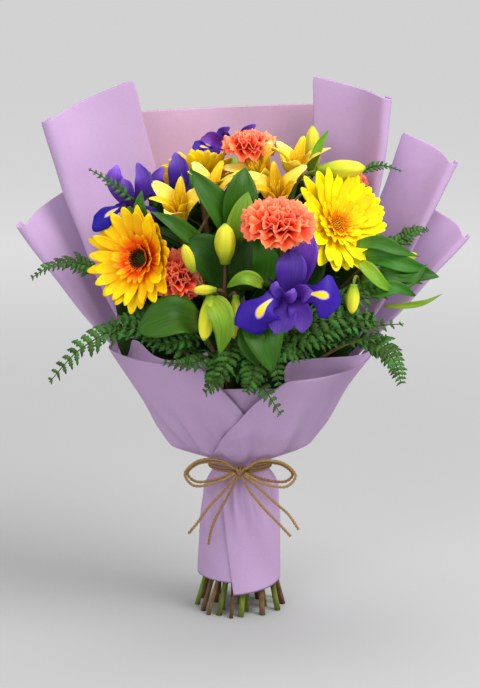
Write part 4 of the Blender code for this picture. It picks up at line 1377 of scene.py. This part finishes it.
for name, (base, facing, place, route, width) in FERNS.items():
    dice = random.Random("fern " + name)
    stem_piece(f"fern_{name}", base, facing, place, FERN_STALK)
    bm = new_bouquet_mesh()
    frond(bm, route, width, (0, -0.5, 1), dice)
    publish(f"fern_{name}_frond", bm, FERN, [f"fern_{name}"], 0.3, "fern")

# %% [markdown]
# ### The rim of fern
# Shorter, plumper pieces of leatherleaf fern are tucked along the rim of the paper. They
# start inside the bunch, overlap each other and hang a little over the edge.

# %% The rim of fern
RIM_FERNS = (
    (((-48, -70, 281), (-71, -96, 297), (-95, -102, 303), (-122, -92, 300)), 36),
    (((-38, -80, 278), (-52, -108, 283), (-71, -112, 290), (-94, -104, 292)), 34),
    (((-24, -90, 278), (-38, -114, 274), (-54, -118, 272), (-72, -112, 272)), 30),
    (((-14, -90, 280), (-17, -120, 268), (-24, -124, 257), (-33, -118, 244)), 38),
    (((8, -95, 286), (13, -122, 274), (11, -128, 260), (6, -126, 246)), 38),
    (((27, -95, 286), (38, -118, 284), (52, -120, 282), (70, -112, 280)), 32),
    (((43, -90, 295), (61, -110, 299), (83, -112, 301), (108, -102, 300)), 36),
    (((48, -85, 303), (71, -106, 310), (96, -106, 314), (123, -96, 318)), 42),
    (((58, -75, 309), (85, -94, 323), (112, -92, 329), (141, -82, 331)), 36),
    (((67, -75, 295), (100, -96, 303), (129, -92, 304), (157, -76, 303)), 30),
    (((87, -75, 286), (100, -94, 292), (120, -94, 292), (142, -84, 292)), 26),
    (((-60, -62, 292), (-82, -84, 308), (-102, -92, 310), (-124, -88, 308)), 36),
    (((-66, -56, 286), (-90, -80, 296), (-110, -90, 300), (-134, -90, 296)), 28),
    (((-30, -84, 290), (-44, -108, 294), (-62, -114, 292), (-84, -112, 284)), 32),
    (((-6, -92, 292), (-8, -118, 286), (-14, -128, 272), (-22, -126, 256)), 36),
    (((20, -92, 290), (28, -118, 284), (34, -126, 270), (36, -122, 252)), 34),
    (((36, -88, 292), (54, -112, 294), (72, -118, 292), (92, -110, 288)), 32),
    (((52, -82, 300), (78, -104, 306), (102, -106, 306), (126, -96, 302)), 36),
    (((62, -76, 300), (90, -94, 308), (114, -96, 310), (138, -86, 306)), 36),
    (((72, -64, 312), (98, -84, 330), (120, -86, 338), (142, -78, 340)), 32),
    (((120, -10, 443), (131, -14, 449), (143, -14, 449), (158, -12, 444)), 16),
    (((-101, -60, 421), (-116, -64, 432), (-129, -66, 442), (-144, -66, 451)), 18),
)
dice = random.Random("rim ferns")
bm = new_bouquet_mesh()
for route, width in RIM_FERNS:
    frond(bm, route, width, (0, -0.8, 0.7), dice, pairs=9, plump=0.62, lean=0.6)
publish("ferns_rim", bm, FERN, slot="fern", thickness=0.3)
